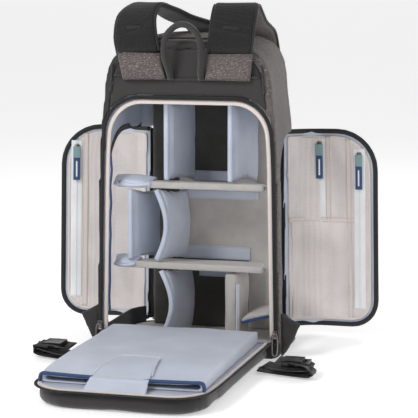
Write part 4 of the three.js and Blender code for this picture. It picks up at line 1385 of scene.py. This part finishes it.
def buckle(name, low, high, side):
    """A release buckle: a body with two side windows, and a ladder bar end."""
    centre, size = (low + high) / 2, high - low
    bm = bmesh.new()
    box(bm, centre, (size.x * 0.62, size.y * 0.92, size.z * 0.9))
    bmesh.ops.subdivide_edges(bm, edges=bm.edges, cuts=2, use_grid_fill=True)
    top = [f for f in bm.faces if f.normal.z > 0.9]
    bmesh.ops.inset_region(bm, faces=top, thickness=1.6 * MM, depth=-0.8 * MM)
    sides = [
        f for f in bm.faces if abs(f.normal.y) > 0.9 and abs(f.calc_center_median().x - centre.x) < size.x * 0.1
    ]
    bmesh.ops.inset_individual(bm, faces=sides, thickness=0.8 * MM, depth=-2.5 * MM)
    round_edges(bm, 0.8 * MM, [e for e in bm.edges if e.calc_face_angle(0) > 0.9])
    bars = bmesh.new()
    down = -size.z * 0.1
    for shift, share in ((0.3, 0.3), (0.42, 0.3), (0.48, 0.5)):
        at = centre + Vector((side * size.x * shift, 0, down))
        box(bars, at, (2.6 * MM, size.y * 0.9, size.z * share))
    for edge in (-1, 1):
        at = centre + Vector((side * size.x * 0.38, edge * size.y * 0.42, down))
        box(bars, at, (size.x * 0.22, 2.8 * MM, size.z * 0.4))
    round_edges(bars, 0.6 * MM)
    return merged(name, [(bm, 0), (bars, 0)], ["buckle"])


@step
class BACKPACK_OT_outer_zips(bpy.types.Operator):
    """Zips of the front and top pockets"""

    bl_idname = "backpack.outer_zips"
    bl_label = "Outer zips"

    def execute(self, context):
        low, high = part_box("front_pocket_zip")
        z = (low.z + high.z) / 2
        starts = [Vector((x * MM, 0.4, z)) for x in range(-74, 75, 4)]
        points = [Vector((s.x, surface_hit("front_pocket_zip", s, OUTWARD).y - 1.2 * MM, z)) for s in starts]
        zip_piece("front_pocket_zip_band", facing(points, -OUTWARD), 9, "bag", "front_pocket_zip")
        low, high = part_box("top_pocket_zip")
        y = (low.y + high.y) / 2
        starts = [Vector((x * MM, y, 0.9)) for x in range(-64, 65, 4)]
        points = [Vector((s.x, y, surface_hit("top_pocket_zip", s, -UPWARD).z - 0.7 * MM)) for s in starts]
        zip_piece("top_pocket_zip_band", facing(points, UPWARD), 8, "bag", "top_pocket_zip")
        return {"FINISHED"}


def surface_hit(node, origin, direction):
    """Where a line meets a CAD node's surface."""
    hit, at, _, _ = frame["nodes"][node].ray_cast(origin, direction)
    if not hit:
        raise RuntimeError(f"no surface of {node} there")
    return at


def wire_ring(centre, size):
    """A wire ring, longer than it is wide."""
    loop = []
    for i in range(32):
        a = math.tau * i / 32
        across = math.copysign(abs(math.cos(a)) ** 0.6, math.cos(a))
        along = math.copysign(abs(math.sin(a)) ** 0.8, math.sin(a))
        reach_x, reach_z = size.x / 2 + 0.6 * MM, size.z / 2 - 1.5 * MM
        loop.append(centre + Vector((reach_x * across, 0, reach_z * along)))
    return swept(circle(1.5 * MM), frames_along(*facing(loop, OUTWARD), closed=True), closed=True)


@step
class BACKPACK_OT_sliders(bpy.types.Operator):
    """Metal sliders and pulls of the rear zip and the front pocket"""

    bl_idname = "backpack.sliders"
    bl_label = "Sliders"

    def execute(self, context):
        rows = [("front_zip_slider", "front_zip")]
        for name, _ in SIDES:
            rows.append((f"{name}_rear_slider", f"{name}_rear_zip"))
            rows.append((f"{name}_rear_pull", f"{name}_rear_pull_ring"))
        for node, body in rows:
            low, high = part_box(node)
            centre, size = (low + high) / 2, high - low
            if "pull" in node:
                bm = wire_ring(centre, size)
            else:
                bm = bmesh.new()
                box(bm, centre, size)
                wide = [f for f in bm.faces if abs(f.normal.y) > 0.9]
                bmesh.ops.inset_individual(bm, faces=wide, thickness=1.2 * MM, depth=-0.6 * MM)
                round_edges(bm, 0.35 * MM)
            settle(to_object(f"{node}_metal", bm, ["steel"]), body, [node])
        return {"FINISHED"}


class BACKPACK_PT_panel(bpy.types.Panel):
    """Lists the pieces in the order they are made"""

    bl_label = "Camera backpack"
    bl_space_type = "VIEW_3D"
    bl_region_type = "UI"
    bl_category = "Backpack"

    def draw(self, context):
        column = self.layout.column()
        for cls in STEPS:
            column.operator(cls.bl_idname)
        for group in (context.scene.backpack_sizes, context.scene.backpack_colours):
            for key in group.__annotations__:
                column.prop(group, key)


CLASSES = (BackpackColours, BackpackSizes, *STEPS, BACKPACK_PT_panel)


def register():
    for cls in CLASSES:
        bpy.utils.register_class(cls)
    bpy.types.Scene.backpack_colours = bpy.props.PointerProperty(type=BackpackColours)
    bpy.types.Scene.backpack_sizes = bpy.props.PointerProperty(type=BackpackSizes)


def unregister():
    del bpy.types.Scene.backpack_sizes
    del bpy.types.Scene.backpack_colours
    for cls in reversed(CLASSES):
        bpy.utils.unregister_class(cls)


def main():
    register()
    make_materials(bpy.context.scene.backpack_colours)
    for cls in STEPS:
        group, name = cls.bl_idname.split(".")
        getattr(getattr(bpy.ops, group), name)()


if __name__ == "__main__":
    main()
